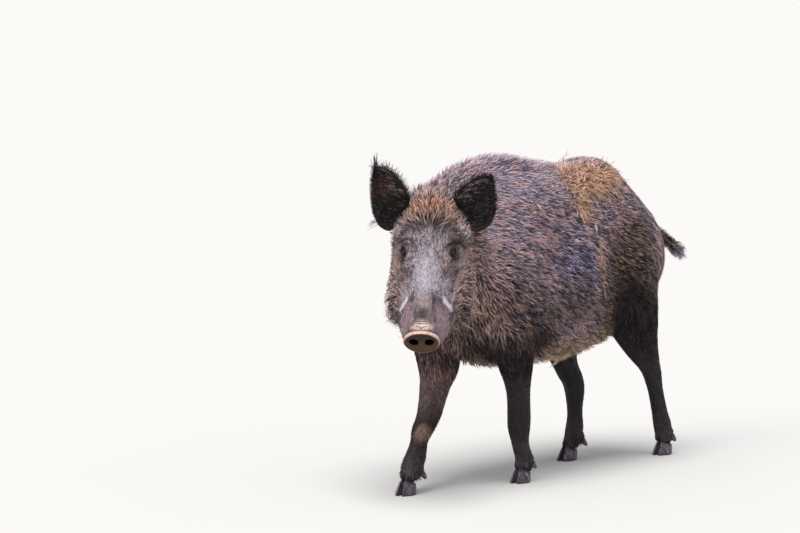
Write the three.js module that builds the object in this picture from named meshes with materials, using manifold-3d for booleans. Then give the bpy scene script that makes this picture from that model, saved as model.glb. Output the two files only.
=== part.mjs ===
// A life-size wild boar sow, walking with her head low and turned to her left.
// Millimetres, +Z up. She faces -Y, her left side is +X, and her hooves stand on Z = 0.
// The surfaces are those of the coat, and the origin is the middle of her outline on the floor.
import * as THREE from "three";
import { mergeVertices } from "three/addons/utils/BufferGeometryUtils.js";
import Module from "manifold-3d";

const wasm = await Module();
wasm.setup();

// ---- driving dimensions -------------------------------------------------------------------
const GAP = 0.35; // clear space left between neighbouring pieces
const FLOOR_CENTRE = new THREE.Vector3(18, -56, 0); // middle of the outline, in body coordinates

const WITHERS_HEIGHT = 773; // top of the mane over the shoulders
const CROUP_HEIGHT = 746;
const BELLY_HEIGHT = 268;
const RUMP_END = 480; // furthest point of the buttocks, behind the middle of the barrel

const HEAD_YAW = 31; // degrees that the head is turned to the left
const HEAD_PITCH = 48; // degrees that the line of the forehead and nose slopes down
const POLL = new THREE.Vector3(53, -449, 694); // crown of the head, between the ears
const HEAD_LENGTH = 388; // from the poll to the disc of the snout
const DISC_TILT = 14; // degrees that the disc looks up from the line of the nose
const DISC_DEPTH = 11; // thickness of the bare pad of the snout

const EYE_RADIUS = 12;
const EYE_ALONG = 138; // from the poll, along the line of the nose
const EYE_APART = 52; // from the middle of the head
const EYE_BELOW = 26; // under the line of the nose

const EAR_BASE_TOP = { out: 50, forward: 2, rise: -8 }; // from the poll, in the level frame of the head
const EAR_BASE_BOTTOM = { out: 94, forward: 0, rise: -82 };
const EAR_TIPS = {
  left: { out: 140, forward: 42, rise: 50 },
  right: { out: 127, forward: 42, rise: 70 }, // this ear is pricked a little more
};
const EAR_THICKNESS = 9;
const EAR_CUP = 26; // depth of its hollow

const HOOF_LENGTH = 62; // along its sole
const HOOF_WIDTH = 23; // of one hoof of the pair
const HOOF_HEIGHT = 36; // of its upper edge above the middle of the foot
const HOOF_LEAN = 11; // that the upper edge lies behind the sole
const CORONET_SLOPE = 20; // degrees that its upper edge falls to the rear
const DEWCLAW_LENGTH = 27;

// ---- smooth profiles ----------------------------------------------------------------------
const lerp = THREE.MathUtils.lerp;
const radians = THREE.MathUtils.degToRad;

/** Catmull-Rom value of four numbers, between the second and the third. */
function catmull(a, b, c, d, t) {
  const slopeIn = (c - a) / 2;
  const slopeOut = (d - b) / 2;
  const cubic = 2 * b - 2 * c + slopeIn + slopeOut;
  const square = 3 * c - 3 * b - 2 * slopeIn - slopeOut;
  return ((cubic * t + square) * t + slopeIn) * t + b;
}

/** A row of the table of stations at the share t, from 0 to 1, of the way through it. */
function stationAt(table, t) {
  const place = t * (table.length - 1);
  const low = Math.min(Math.floor(place), table.length - 2);
  const row = (i) => table[THREE.MathUtils.clamp(i, 0, table.length - 1)];
  return table[0].map((_, k) =>
    catmull(row(low - 1)[k], row(low)[k], row(low + 1)[k], row(low + 2)[k], place - low),
  );
}

/** A power of a sine or cosine that keeps its sign: 1 gives an ellipse, less a squarer section. */
const signedPower = (value, power) => Math.sign(value) * Math.abs(value) ** power;

/** A bell of height 1 at x = 0 that has fallen to about a third at one width. */
const bell = (x) => Math.exp(-x * x);

/** Directions of a section that faces forward at this yaw and pitch: forward, left and up. */
function facing(yaw, pitch) {
  const y = radians(yaw);
  const p = radians(pitch);
  return {
    forward: new THREE.Vector3(Math.sin(y) * Math.cos(p), -Math.cos(y) * Math.cos(p), -Math.sin(p)),
    left: new THREE.Vector3(Math.cos(y), Math.sin(y), 0),
    up: new THREE.Vector3(Math.sin(y) * Math.sin(p), -Math.cos(y) * Math.sin(p), Math.cos(p)),
  };
}

/** A ball's mesh carried onto a surface: place(angle, t) is the point at an angle round it and a share t along it. */
function carriedBall(around, along, place) {
  const geometry = new THREE.SphereGeometry(1, around, along);
  const { position, uv } = geometry.attributes;
  for (let i = 0; i < position.count; i++) {
    const ring = Math.round((1 - uv.getY(i)) * along) / along;
    const angle = ring === 0 || ring === 1 ? 0 : -2 * Math.PI * uv.getX(i);
    const p = place(angle, ring);
    position.setXYZ(i, p.x, p.y, p.z);
  }
  geometry.deleteAttribute("normal");
  geometry.deleteAttribute("uv");
  return mergeVertices(geometry, 1e-4);
}

/** A closed geometry as a solid that can be joined and cut. */
function solid(geometry) {
  const merged = mergeVertices(geometry, 1e-4);
  return new wasm.Manifold(
    new wasm.Mesh({
      numProp: 3,
      vertProperties: new Float32Array(merged.attributes.position.array),
      triVerts: new Uint32Array(merged.index.array),
    }),
  );
}

/** A solid as a geometry. */
function geometryOf(made) {
  const mesh = made.getMesh();
  return new THREE.BufferGeometry()
    .setAttribute("position", new THREE.BufferAttribute(new Float32Array(mesh.vertProperties), 3))
    .setIndex(new THREE.BufferAttribute(new Uint32Array(mesh.triVerts), 1));
}

/** Everything on one side of a plane through a point, on the side that the normal points to. */
function halfSpace(point, normal) {
  const size = 3000;
  const box = new THREE.BoxGeometry(size, size, size);
  box.translate(0, 0, size / 2);
  const turn = new THREE.Quaternion().setFromUnitVectors(new THREE.Vector3(0, 0, 1), normal.clone().normalize());
  box.applyQuaternion(turn);
  box.translate(point.x, point.y, point.z);
  box.deleteAttribute("normal");
  box.deleteAttribute("uv");
  return solid(box);
}

// ---- trunk and neck -----------------------------------------------------------------------
// Each station: x, y and height of the section's middle, yaw and pitch that it faces, half width,
// reach above and below the middle, share by which its top is narrower, and squareness.
const TRUNK = [
  [0, RUMP_END, 514, 0, 0, 0, 0, 0, 0, 1],
  [0, RUMP_END - 12, 514, 0, 0, 60, 56, 68, 0.1, 1],
  [0, RUMP_END - 48, 512, 0, 0, 106, 111, 116, 0.14, 0.96],
  [0, 348, 508, 0, 0, 136, 182, 158, 0.2, 0.92],
  [0, 250, 498, 0, 0, 148, CROUP_HEIGHT - 498, 204, 0.16, 0.88],
  [0, 132, 484, 0, 0, 158, 253, 212, 0.14, 0.9],
  [0, 15, 480, 0, 0, 168, 272, 480 - BELLY_HEIGHT, 0.14, 0.92],
  [0, -100, 485, 0, 0, 166, WITHERS_HEIGHT - 485, 216, 0.22, 0.92],
  [0, -195, 495, 2, 2, 154, WITHERS_HEIGHT - 497, 220, 0.28, 0.92],
  [3, -280, 505, 8, 6, 138, 247, 216, 0.26, 0.94],
  [14, -348, 522, 17, 13, 120, 204, 186, 0.22, 0.96],
  [30, -400, 542, 24, 22, 102, 156, 168, 0.16, 0.98],
  [46, -440, 552, 29, 34, 76, 98, 130, 0.1, 1],
  [62, -470, 552, 31, 44, 0, 0, 0, 0, 1],
];

/** A point of a section: across and up from its middle. */
function sectionPoint([x, y, z, yaw, pitch, half, above, below, ridge, square], angle, extra) {
  const { left, up } = facing(yaw, pitch);
  const c = signedPower(Math.cos(angle), square);
  const s = signedPower(Math.sin(angle), square);
  const across = (half + (half > 0 ? extra : 0)) * c * (1 - ridge * s);
  const reach = s > 0 ? above : below;
  const rise = (reach + (reach > 0 ? extra : 0)) * s;
  return new THREE.Vector3(x, y, z).addScaledVector(left, across).addScaledVector(up, rise);
}

// Muscles and hollows: middle and size of each, and how far it stands out of the trunk.
const MUSCLES = [
  { at: [150, -215, 520], size: [90, 105, 150], out: 13 }, // shoulder blade
  { at: [150, -95, 560], size: [80, 45, 130], out: -7 }, // hollow behind the shoulder
  { at: [145, 320, 510], size: [90, 110, 140], out: 13 }, // haunch
  { at: [160, 190, 440], size: [80, 50, 150], out: -12 }, // flank
  { at: [70, 300, 735], size: [70, 70, 60], out: 8 }, // point of the hip
];

/** How far the muscles push a point outwards, on either side of the body. */
function muscleSwell(p) {
  return MUSCLES.reduce((sum, { at, size, out }) => {
    const far = Math.hypot((Math.abs(p.x) - at[0]) / size[0], (p.y - at[1]) / size[1], (p.z - at[2]) / size[2]);
    return sum + out * bell(far);
  }, 0);
}

/** The barrel, rump and neck as one closed body; extra makes it that much bigger all over. */
function trunkBody(extra = 0) {
  return solid(
    carriedBall(28, (TRUNK.length - 1) * 3, (angle, t) => {
      const station = stationAt(TRUNK, t);
      const p = sectionPoint(station, angle, extra);
      const middle = new THREE.Vector3(...station);
      const outward = p.clone().sub(middle);
      const swell = Math.min(1, outward.length() / 40) * muscleSwell(p);
      return p.addScaledVector(outward.normalize(), swell);
    }),
  );
}

// ---- head ---------------------------------------------------------------------------------
const HEAD = facing(HEAD_YAW, HEAD_PITCH);

/** A point in the head: along the line of the nose from the poll, to the left, and above that line. */
function inHead(along, left, above) {
  return POLL.clone()
    .addScaledVector(HEAD.forward, along)
    .addScaledVector(HEAD.left, left)
    .addScaledVector(HEAD.up, above);
}

// Each station: distance from the poll along the nose, top and bottom above the line of the nose,
// height of the widest place, half width, share by which the top is narrower, and squareness.
const SKULL = [
  [-78, -85, -125, -105, 0, 0, 1],
  [-66, -44, -165, -108, 52, 0.1, 1],
  [-36, -8, -208, -110, 78, 0.16, 0.95],
  [10, 4, -226, -112, 87, 0.18, 0.88],
  [60, 7, -228, -112, 90, 0.18, 0.82],
  [112, 4, -220, -106, 89, 0.16, 0.76],
  [165, -4, -212, -98, 83, 0.2, 0.78],
  [215, -10, -194, -90, 73, 0.24, 0.82],
  [262, -12, -156, -76, 62, 0.28, 0.86],
  [305, -10, -120, -63, 55, 0.24, 0.88],
  [342, -6, -94, -50, 46, 0.18, 0.88],
  [366, -3, -76, -38, 39, 0.1, 0.88],
  [HEAD_LENGTH - DISC_DEPTH, -2, -68, -35, 38, 0.06, 0.86],
  [HEAD_LENGTH - DISC_DEPTH, -35, -35, -35, 0, 0, 1],
];
const DISC_MIDDLE = -35;

/** How far back a point lies because the front of the snout leans back by the tilt of the disc. */
function discLean(along, above) {
  const share = THREE.MathUtils.smoothstep(along, 290, HEAD_LENGTH - DISC_DEPTH);
  return -Math.tan(radians(DISC_TILT)) * (above - DISC_MIDDLE) * share;
}

// Forms of the face: distance along the nose, from the middle and above the line of the nose,
// their size, and how far they stand out.
const FACE_FORMS = [
  { at: [112, 58, -8], size: [26, 24, 20], out: 5 }, // brow
  { at: [144, 70, -34], size: [20, 22, 16], out: -5 }, // socket of the eye
  { at: [150, 74, -66], size: [50, 30, 24], out: 4 }, // cheek bone
  { at: [205, 92, -165], size: [62, 56, 46], out: 36 }, // tufted jowl
  { at: [236, 60, -50], size: [40, 20, 22], out: -6 }, // hollow of the muzzle
  { at: [292, 52, -72], size: [44, 20, 20], out: 4 }, // upper lip
];

/** How far the face forms push a point of the head outwards. */
function faceSwell(along, left, above) {
  return FACE_FORMS.reduce((sum, { at, size, out }) => {
    const far = Math.hypot((along - at[0]) / size[0], (Math.abs(left) - at[1]) / size[1], (above - at[2]) / size[2]);
    return sum + out * bell(far);
  }, 0);
}

/** The whole head without ears, as one closed body; extra makes it that much bigger. */
function headBody(extra = 0) {
  return solid(
    carriedBall(26, (SKULL.length - 1) * 2, (angle, t) => {
      const [along, top, bottom, widest, half, ridge, square] = stationAt(SKULL, t);
      const c = signedPower(Math.cos(angle), square);
      const s = signedPower(Math.sin(angle), square);
      const reach = s > 0 ? top - widest : widest - bottom;
      const grown = half > 1 ? extra : 0;
      let left = (half + grown) * c * (1 - ridge * s);
      let above = widest + (Math.max(reach, 0) + grown) * s;
      const swell = half > 10 ? faceSwell(along, left, above) : 0;
      const length = Math.hypot(left, above - widest) || 1;
      left += (swell * left) / length;
      above += (swell * (above - widest)) / length;
      const end = Math.min(along, HEAD_LENGTH - DISC_DEPTH);
      return inHead(end + discLean(end, above), left, above);
    }),
  );
}

/** The bare pad at the end of the snout: a rounded oval plate with two nostrils. */
function snoutDisc() {
  const halfWidth = 40;
  const halfHeight = 28;
  const plate = solid(
    carriedBall(22, 8, (angle, t) => {
      const depth = [0, 0, 0.12, 0.5, 0.85, 1, 0.93, 0.9, 0.9][Math.round(t * 8)] * (DISC_DEPTH - GAP);
      const size = [0, 0.93, 1, 1.04, 1.02, 0.94, 0.8, 0.4, 0][Math.round(t * 8)];
      const c = signedPower(Math.cos(angle), 0.88);
      const s = signedPower(Math.sin(angle), 0.88);
      return new THREE.Vector3(halfWidth * size * c * (1 - 0.06 * s), halfHeight * size * s, depth);
    }),
  );
  const nostrils = [-1, 1].map((side) => {
    const hole = new THREE.SphereGeometry(1, 9, 6);
    hole.deleteAttribute("normal");
    hole.deleteAttribute("uv");
    hole.scale(8.5, 6.5, 8);
    hole.rotateZ(side * 0.25);
    hole.translate(side * 18, 0, DISC_DEPTH);
    return solid(hole);
  });
  return plate.subtract(nostrils[0]).subtract(nostrils[1]);
}

// ---- ears, tail and legs ------------------------------------------------------------------
/** A point beside the head: out to one side of the poll, forward of it and above it, on the level. */
function besideHead(side, { out, forward, rise }) {
  const level = facing(HEAD_YAW, 0);
  return POLL.clone()
    .addScaledVector(level.left, side * out)
    .addScaledVector(level.forward, forward)
    .addScaledVector(level.up, rise);
}

/** The two edges of an ear, from its base to its tip: the upper one bows a little, the outer one a lot. */
function earEdges(side, tip) {
  const inner = new THREE.QuadraticBezierCurve3(
    besideHead(side, EAR_BASE_TOP),
    besideHead(side, { out: tip.out - 52, forward: 26, rise: tip.rise - 2 }),
    besideHead(side, tip),
  );
  const outer = new THREE.CubicBezierCurve3(
    besideHead(side, EAR_BASE_BOTTOM),
    besideHead(side, { out: tip.out + 10, forward: 14, rise: -84 }),
    besideHead(side, { out: tip.out + 14, forward: 34, rise: tip.rise - 58 }),
    besideHead(side, tip),
  );
  return { inner, outer };
}

/** An ear: a thin leaf between its two edges, hollowed towards the front. */
function earBody(side, tip) {
  const { inner, outer } = earEdges(side, tip);
  const opening = facing(HEAD_YAW + side * 14, 0).forward;
  const rows = 10;
  return solid(
    carriedBall(14, rows + 1, (angle, t) => {
      const along = Math.max(0, (t * (rows + 1) - 1) / rows);
      const across = t === 0 ? 0.5 : (1 - Math.cos(angle)) / 2;
      const edgeward = 4 * across * (1 - across);
      const hollow = EAR_CUP * edgeward * (1 - 0.6 * along * along);
      const thick = t === 0 ? 0 : (EAR_THICKNESS / 2) * Math.sin(angle) * side * (1 - 0.45 * along);
      return inner
        .getPoint(along)
        .lerp(outer.getPoint(along), across)
        .addScaledVector(opening, thick - hollow);
    }),
  );
}

// Each station of the tail: x, y, height and radius with its hair.
const TAIL = [
  [0, 434, 590, 0],
  [0, 450, 582, 17],
  [10, 484, 562, 15],
  [28, 508, 543, 13],
  [44, 524, 524, 13],
  [57, 536, 508, 14],
  [66, 545, 496, 16],
  [73, 551, 486, 13],
  [77, 555, 479, 0],
];

/** The tail as a bent tapering rope with a thicker tuft at its end. */
function tailBody() {
  const path = new THREE.CatmullRomCurve3(TAIL.map(([x, y, z]) => new THREE.Vector3(x, y, z)));
  const sideways = new THREE.Vector3(1, 0.25, 0).normalize();
  return solid(
    carriedBall(10, 16, (angle, t) => {
      const [x, y, z, radius] = stationAt(TAIL, t);
      const along = path.getTangent(t);
      const side = sideways.clone().addScaledVector(along, -sideways.dot(along)).normalize();
      const other = new THREE.Vector3().crossVectors(along, side);
      return new THREE.Vector3(x, y, z)
        .addScaledVector(side, radius * Math.cos(angle))
        .addScaledVector(other, radius * Math.sin(angle));
    }),
  );
}

// Each leg: the height at which it is cut from the trunk, the middle and turn of its foot, how far
// behind that its dewclaws are, and its stations: height, x and y of the middle, half width, and reach forwards and backwards.
const LEGS = {
  front_left: {
    cut: 330,
    hoof: { x: 69, y: -124, yaw: 8, claws: 38 },
    stations: [
      [520, 98, -225, 0, 0, 0],
      [500, 98, -226, 40, 70, 70],
      [420, 98, -218, 46, 68, 74],
      [345, 101, -206, 49, 64, 66],
      [290, 95, -182, 41, 44, 46],
      [225, 88, -159, 31, 33, 35],
      [165, 83, -147, 29, 32, 31],
      [130, 79, -141, 28, 31, 30],
      [95, 76, -133, 23, 24, 27],
      [66, 74, -119, 24, 22, 26],
      [48, 71, -113, 23, 23, 25],
      [28, 69, -108, 22, 24, 22],
      [10, 69, -108, 0, 0, 0],
    ],
  },
  front_right: {
    cut: 330,
    hoof: { x: -31, y: -437, yaw: 10, claws: 61 },
    stations: [
      [520, -98, -240, 0, 0, 0],
      [500, -98, -240, 42, 70, 70],
      [420, -98, -228, 48, 70, 76],
      [345, -100, -226, 50, 66, 76],
      [265, -85, -238, 43, 50, 60],
      [222, -76, -264, 35, 42, 46],
      [169, -66, -297, 30, 35, 37],
      [140, -60, -325, 28, 35, 32],
      [110, -54, -353, 22, 27, 27],
      [80, -48, -378, 26, 28, 36],
      [60, -42, -398, 28, 30, 38],
      [40, -35, -417, 24, 27, 29],
      [14, -33, -424, 0, 0, 0],
    ],
  },
  hind_left: {
    cut: 385,
    hoof: { x: 80, y: 461, yaw: 6, claws: 29 },
    stations: [
      [560, 90, 290, 0, 0, 0],
      [530, 86, 282, 50, 84, 96],
      [450, 90, 274, 64, 96, 124],
      [365, 98, 286, 60, 80, 92],
      [305, 97, 318, 48, 60, 60],
      [252, 93, 360, 36, 47, 46],
      [212, 91, 394, 25, 31, 34],
      [167, 88, 418, 20, 24, 25],
      [110, 85, 442, 21, 25, 26],
      [78, 83, 455, 23, 24, 31],
      [50, 81, 462, 22, 24, 27],
      [28, 80, 470, 21, 23, 23],
      [10, 80, 470, 0, 0, 0],
    ],
  },
  hind_right: {
    cut: 385,
    hoof: { x: -50, y: 240, yaw: 4, claws: 56 },
    stations: [
      [560, -90, 290, 0, 0, 0],
      [530, -86, 276, 50, 84, 96],
      [450, -90, 264, 64, 96, 120],
      [365, -95, 254, 58, 80, 92],
      [300, -89, 250, 44, 58, 62],
      [240, -79, 266, 33, 42, 44],
      [202, -74, 285, 30, 35, 40],
      [168, -70, 299, 25, 29, 34],
      [112, -65, 296, 20, 24, 26],
      [78, -61, 288, 22, 24, 31],
      [52, -57, 274, 23, 26, 32],
      [30, -52, 256, 21, 24, 26],
      [10, -50, 250, 0, 0, 0],
    ],
  },
};

/** A leg in level slices, from inside the trunk down into its foot; extra makes it that much bigger. */
function legBody({ stations }, extra = 0) {
  return solid(
    carriedBall(12, (stations.length - 1) * 2, (angle, t) => {
      const [z, x, y, half, fore, aft] = stationAt(stations, t);
      const s = Math.sin(angle);
      const grown = half > 1 ? extra : 0;
      const reach = Math.max(s > 0 ? fore : aft, 0) + grown;
      return new THREE.Vector3(x + (Math.max(half, 0) + grown) * Math.cos(angle), y - reach * s, z);
    }),
  );
}

/** The sloping plane through a foot along the upper edge of its hooves. */
function coronet({ x, y, yaw }, drop) {
  const slope = radians(CORONET_SLOPE);
  const heading = facing(yaw, 0).forward;
  const normal = heading.multiplyScalar(-Math.sin(slope)).setZ(Math.cos(slope));
  return { point: new THREE.Vector3(x, y, HOOF_HEIGHT - drop), normal };
}

/** One hoof of a pair: a slanting D in level slices, flat towards the other hoof and pointed in front. */
function hoofBody(hoof, side) {
  const foot = facing(hoof.yaw, 0);
  const levels = [0, 0, 0.08, 0.5, 1, 1.6, 1.6];
  const sizes = [0, 0.97, 1, 0.9, 0.8, 0.7, 0];
  const whole = solid(
    carriedBall(14, levels.length - 1, (angle, t) => {
      const ring = Math.round(t * (levels.length - 1));
      const c = Math.cos(angle);
      const s = -side * Math.sin(angle);
      const outside = c > 0 ? HOOF_WIDTH - 2 : 2;
      const taper = s > 0 ? 1 - 0.5 * s ** 3 : 1;
      const lateral = side * (GAP + 2 + outside * signedPower(c, 0.8) * taper * sizes[ring]);
      const reach = (HOOF_LENGTH / 2) * s * sizes[ring] - HOOF_LEAN * levels[ring];
      return new THREE.Vector3(hoof.x, hoof.y, levels[ring] * HOOF_HEIGHT)
        .addScaledVector(foot.left, lateral)
        .addScaledVector(foot.forward, reach);
    }),
  );
  const { point, normal } = coronet(hoof, GAP);
  return whole.intersect(halfSpace(point, normal.negate()));
}

/** A dewclaw: a small blunt cone behind the foot that points down and back. */
function dewclawBody(hoof, side) {
  const claw = new THREE.ConeGeometry(8, DEWCLAW_LENGTH, 9);
  claw.rotateX(-Math.PI / 2 - 0.75);
  claw.rotateZ(side * 0.25 + radians(hoof.yaw));
  const foot = facing(hoof.yaw, 0);
  const place = new THREE.Vector3(hoof.x, hoof.y, 38)
    .addScaledVector(foot.left, side * 17)
    .addScaledVector(foot.forward, -hoof.claws);
  claw.translate(place.x, place.y, place.z);
  claw.deleteAttribute("normal");
  claw.deleteAttribute("uv");
  return solid(claw);
}

// ---- the whole animal ---------------------------------------------------------------------
const materials = {
  coat: new THREE.MeshStandardMaterial({ color: 0x4a3d38, roughness: 0.85, metalness: 0 }),
  face: new THREE.MeshStandardMaterial({ color: 0x6a605e, roughness: 0.8, metalness: 0 }),
  dark: new THREE.MeshStandardMaterial({ color: 0x241e1f, roughness: 0.8, metalness: 0 }),
  pad: new THREE.MeshStandardMaterial({ color: 0x8a6a60, roughness: 0.6, metalness: 0 }),
  horn: new THREE.MeshStandardMaterial({ color: 0x56525a, roughness: 0.5, metalness: 0 }),
  eye: new THREE.MeshStandardMaterial({ color: 0x1a120c, roughness: 0.1, metalness: 0 }),
};

const boar = new THREE.Group();
boar.position.copy(FLOOR_CENTRE).negate();

/** Adds a solid or geometry to the animal as a named piece, and returns its mesh. */
function piece(name, made, material, parent = boar) {
  const mesh = new THREE.Mesh(made.isBufferGeometry ? made : geometryOf(made), material);
  mesh.name = name;
  parent.add(mesh);
  return mesh;
}

const trunk = trunkBody();
const trunkClear = trunkBody(GAP);
const head = headBody();
const headClear = headBody(GAP);

// Legs: the part above the cut belongs to the trunk, and the foot ends at the coronet.
const upperLegs = [];
for (const [name, leg] of Object.entries(LEGS)) {
  const whole = legBody(leg);
  const cut = new THREE.Vector3(0, 0, leg.cut);
  const up = new THREE.Vector3(0, 0, 1);
  upperLegs.push(whole.intersect(halfSpace(cut, up)));
  const { point, normal } = coronet(leg.hoof, 0);
  const lower = whole
    .intersect(halfSpace(cut.clone().setZ(leg.cut - GAP), up.negate()))
    .intersect(halfSpace(point, normal))
    .subtract(trunkClear)
    .subtract(headClear);
  const [free] = lower.decompose().sort((a, b) => b.volume() - a.volume());
  piece("leg_" + name, free, materials.dark);
  const legClear = legBody(leg, GAP);
  for (const [label, side] of [["left", 1], ["right", -1]]) {
    piece("hoof_" + name + "_" + label, hoofBody(leg.hoof, side), materials.horn);
    piece("dewclaw_" + name + "_" + label, dewclawBody(leg.hoof, side).subtract(legClear), materials.horn);
  }
}

// The neck meets the trunk in front of the shoulders, and the head behind the ears and jaw.
const neckBase = { point: new THREE.Vector3(5, -300, 520), normal: facing(10, 8).forward };
const nape = { point: inHead(-22, 0, 0), normal: facing(30, 24).forward };
const whole = upperLegs.reduce((sum, upper) => sum.add(upper), trunk).add(head);

/** The part of a body on one side of a plane: in front of it, or behind it and clear by the gap. */
function cutAt(body, { point, normal }, ahead) {
  if (ahead) return body.intersect(halfSpace(point, normal));
  return body.intersect(halfSpace(point.clone().addScaledVector(normal, -GAP), normal.clone().negate()));
}

const ahead = cutAt(whole, neckBase, true);
const front = cutAt(ahead, nape, true);
piece("trunk", cutAt(whole, neckBase, false), materials.coat);
piece("neck", cutAt(ahead, nape, false), materials.coat);

const eyes = [-1, 1].map((side) => inHead(EYE_ALONG, side * EYE_APART, -EYE_BELOW));
const socket = (centre) => {
  const ball = new THREE.SphereGeometry(EYE_RADIUS + GAP, 12, 9);
  ball.deleteAttribute("normal");
  ball.deleteAttribute("uv");
  ball.translate(centre.x, centre.y, centre.z);
  return solid(ball);
};
const sockets = eyes.map(socket);
piece("head", front.subtract(sockets[0]).subtract(sockets[1]), materials.face);

for (const [i, side] of ["right", "left"].entries()) {
  const eye = piece("eye_" + side, new THREE.SphereGeometry(EYE_RADIUS, 12, 9), materials.eye);
  eye.position.copy(eyes[i]);
}

const snout = piece("snout_disc", snoutDisc(), materials.pad);
snout.position.copy(inHead(HEAD_LENGTH - DISC_DEPTH + GAP, 0, DISC_MIDDLE));
const discFacing = facing(HEAD_YAW, HEAD_PITCH - DISC_TILT);
snout.setRotationFromMatrix(
  new THREE.Matrix4().makeBasis(discFacing.left, discFacing.up, discFacing.forward),
);

for (const [name, side] of [["left", 1], ["right", -1]]) {
  piece("ear_" + name, earBody(side, EAR_TIPS[name]).subtract(headClear).subtract(trunkClear), materials.dark);
}

piece("tail", tailBody().subtract(trunkClear), materials.dark);

export default boar;
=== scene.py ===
"""A life-size wild boar sow in her coat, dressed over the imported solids.

Lengths are millimetres in the animal's own coordinates until a mesh is made: she faces -Y, her
left side is +X, and her hooves stand on Z = 0. A mesh is made in metres in the row frame.
"""
import math

import bmesh
import bpy
import numpy as np
from mathutils import Matrix


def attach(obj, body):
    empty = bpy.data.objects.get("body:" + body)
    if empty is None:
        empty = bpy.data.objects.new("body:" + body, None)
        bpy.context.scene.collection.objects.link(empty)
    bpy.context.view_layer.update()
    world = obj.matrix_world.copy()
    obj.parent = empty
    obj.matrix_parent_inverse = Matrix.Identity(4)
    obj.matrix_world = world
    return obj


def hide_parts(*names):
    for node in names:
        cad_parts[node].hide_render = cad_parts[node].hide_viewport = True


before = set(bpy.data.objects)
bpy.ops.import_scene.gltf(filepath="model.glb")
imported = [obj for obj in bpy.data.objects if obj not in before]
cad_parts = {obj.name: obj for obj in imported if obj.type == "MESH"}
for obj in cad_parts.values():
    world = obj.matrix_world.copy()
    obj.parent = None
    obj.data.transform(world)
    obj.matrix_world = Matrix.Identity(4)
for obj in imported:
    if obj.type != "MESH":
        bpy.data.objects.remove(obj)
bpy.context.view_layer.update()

# ---- sizes, as in the solids --------------------------------------------------------------
# The origin of the row frame, in the animal's coordinates.
FLOOR_CENTRE = np.array([18.0, -56.0, 0.0])
MILLIMETRE = 0.001
WITHERS_HEIGHT, CROUP_HEIGHT, BELLY_HEIGHT, RUMP_END = 773, 746, 268, 480
HEAD_YAW, HEAD_PITCH = 31, 48
POLL = np.array([53.0, -449.0, 694.0])
HEAD_LENGTH, DISC_TILT, DISC_DEPTH, DISC_MIDDLE = 388, 14, 11, -35
SNOUT_END = HEAD_LENGTH - DISC_DEPTH
EYE_RADIUS, EYE_ALONG, EYE_APART, EYE_BELOW, EYE_SUNK = 12, 138, 52, 26, 2.6
EAR_BASE_TOP, EAR_BASE_BOTTOM = (50, 2, -8), (94, 0, -82)
EAR_TIPS = {"left": (140, 42, 50), "right": (127, 42, 70)}
EAR_THICKNESS, EAR_CUP, EAR_TURN, EAR_AROUND, EAR_ALONG = 6.5, 26, 14.0, 56, 50
HOOF_LENGTH, HOOF_WIDTH, HOOF_HEIGHT, HOOF_LEAN, CORONET_SLOPE = 62, 23, 36, 11, 20
SIDES = {"left": 1, "right": -1}
rng = np.random.default_rng(1207)


# ---- smooth profiles ----------------------------------------------------------------------
def unit(v):
    """Vectors made one long."""
    return v / np.maximum(np.linalg.norm(v, axis=-1, keepdims=True), 1e-9)


def smooth(low, high, x):
    """0 below low, 1 above high, and a smooth step between them."""
    t = np.clip((x - low) / (high - low), 0, 1)
    return t * t * (3 - 2 * t)


def bell(x):
    """A bell of height 1 at 0 that has fallen to about a third at 1."""
    return np.exp(-x * x)


def signed_power(value, power):
    """A power that keeps the sign: 1 gives an ellipse, less a squarer section."""
    return np.sign(value) * np.abs(value) ** power


def dot(a, b):
    """Row by row product of two sets of vectors, as one column."""
    return np.sum(a * b, axis=-1, keepdims=True)


def stations_at(table, t):
    """The columns of a table of stations at the shares t of the way through it, on Catmull-Rom curves."""
    table = np.asarray(table, float)
    place = np.asarray(t, float) * (len(table) - 1)
    low = np.minimum(np.floor(place).astype(int), len(table) - 2)
    f = (place - low)[:, None]
    a, b, c, d = (table[np.clip(low + k, 0, len(table) - 1)] for k in (-1, 0, 1, 2))
    slope_in, slope_out = (c - a) / 2, (d - b) / 2
    cubic = 2 * b - 2 * c + slope_in + slope_out
    square = 3 * c - 3 * b - 2 * slope_in - slope_out
    return (((cubic * f + square) * f + slope_in) * f + b).T


def facing(yaw, pitch):
    """Forward, left and up of a section that faces this way, one row each."""
    y, p = np.radians(yaw), np.radians(pitch)
    forward = np.stack([np.sin(y) * np.cos(p), -np.cos(y) * np.cos(p), -np.sin(p)], -1)
    left = np.stack([np.cos(y), np.sin(y), np.zeros_like(y)], -1)
    up = np.stack([np.sin(y) * np.sin(p), -np.cos(y) * np.sin(p), np.cos(p)], -1)
    return forward, left, up


HEAD = np.array(facing(float(HEAD_YAW), float(HEAD_PITCH)))
LEVEL = np.array(facing(float(HEAD_YAW), 0.0))


def in_head(along, left, above):
    """A point in the head: along the line of the nose from the poll, to the left and above it."""
    return POLL + np.stack([along, left, above], -1) @ HEAD


def head_coordinates(p):
    """Distance along the nose, to the left and above its line, of points of the body."""
    return ((p - POLL) @ HEAD.T).T


def either_side(p):
    """Points with the right half laid over the left: the first coordinate without its sign."""
    return np.stack([np.abs(p[:, 0]), p[:, 1], p[:, 2]], -1)


def either_cheek(p):
    """Points in the head's own coordinates, with its right half laid over its left."""
    a, l, u = head_coordinates(p)
    return np.stack([a, np.abs(l), u], -1)


# Large odd numbers that turn the corners of a lattice into unrelated values.
LATTICE_STEPS, SEED_STEP = np.array([73856093, 19349663, 83492791]), 2654435761
MIXERS = ((15, 2246822519), (13, 3266489917))


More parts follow.
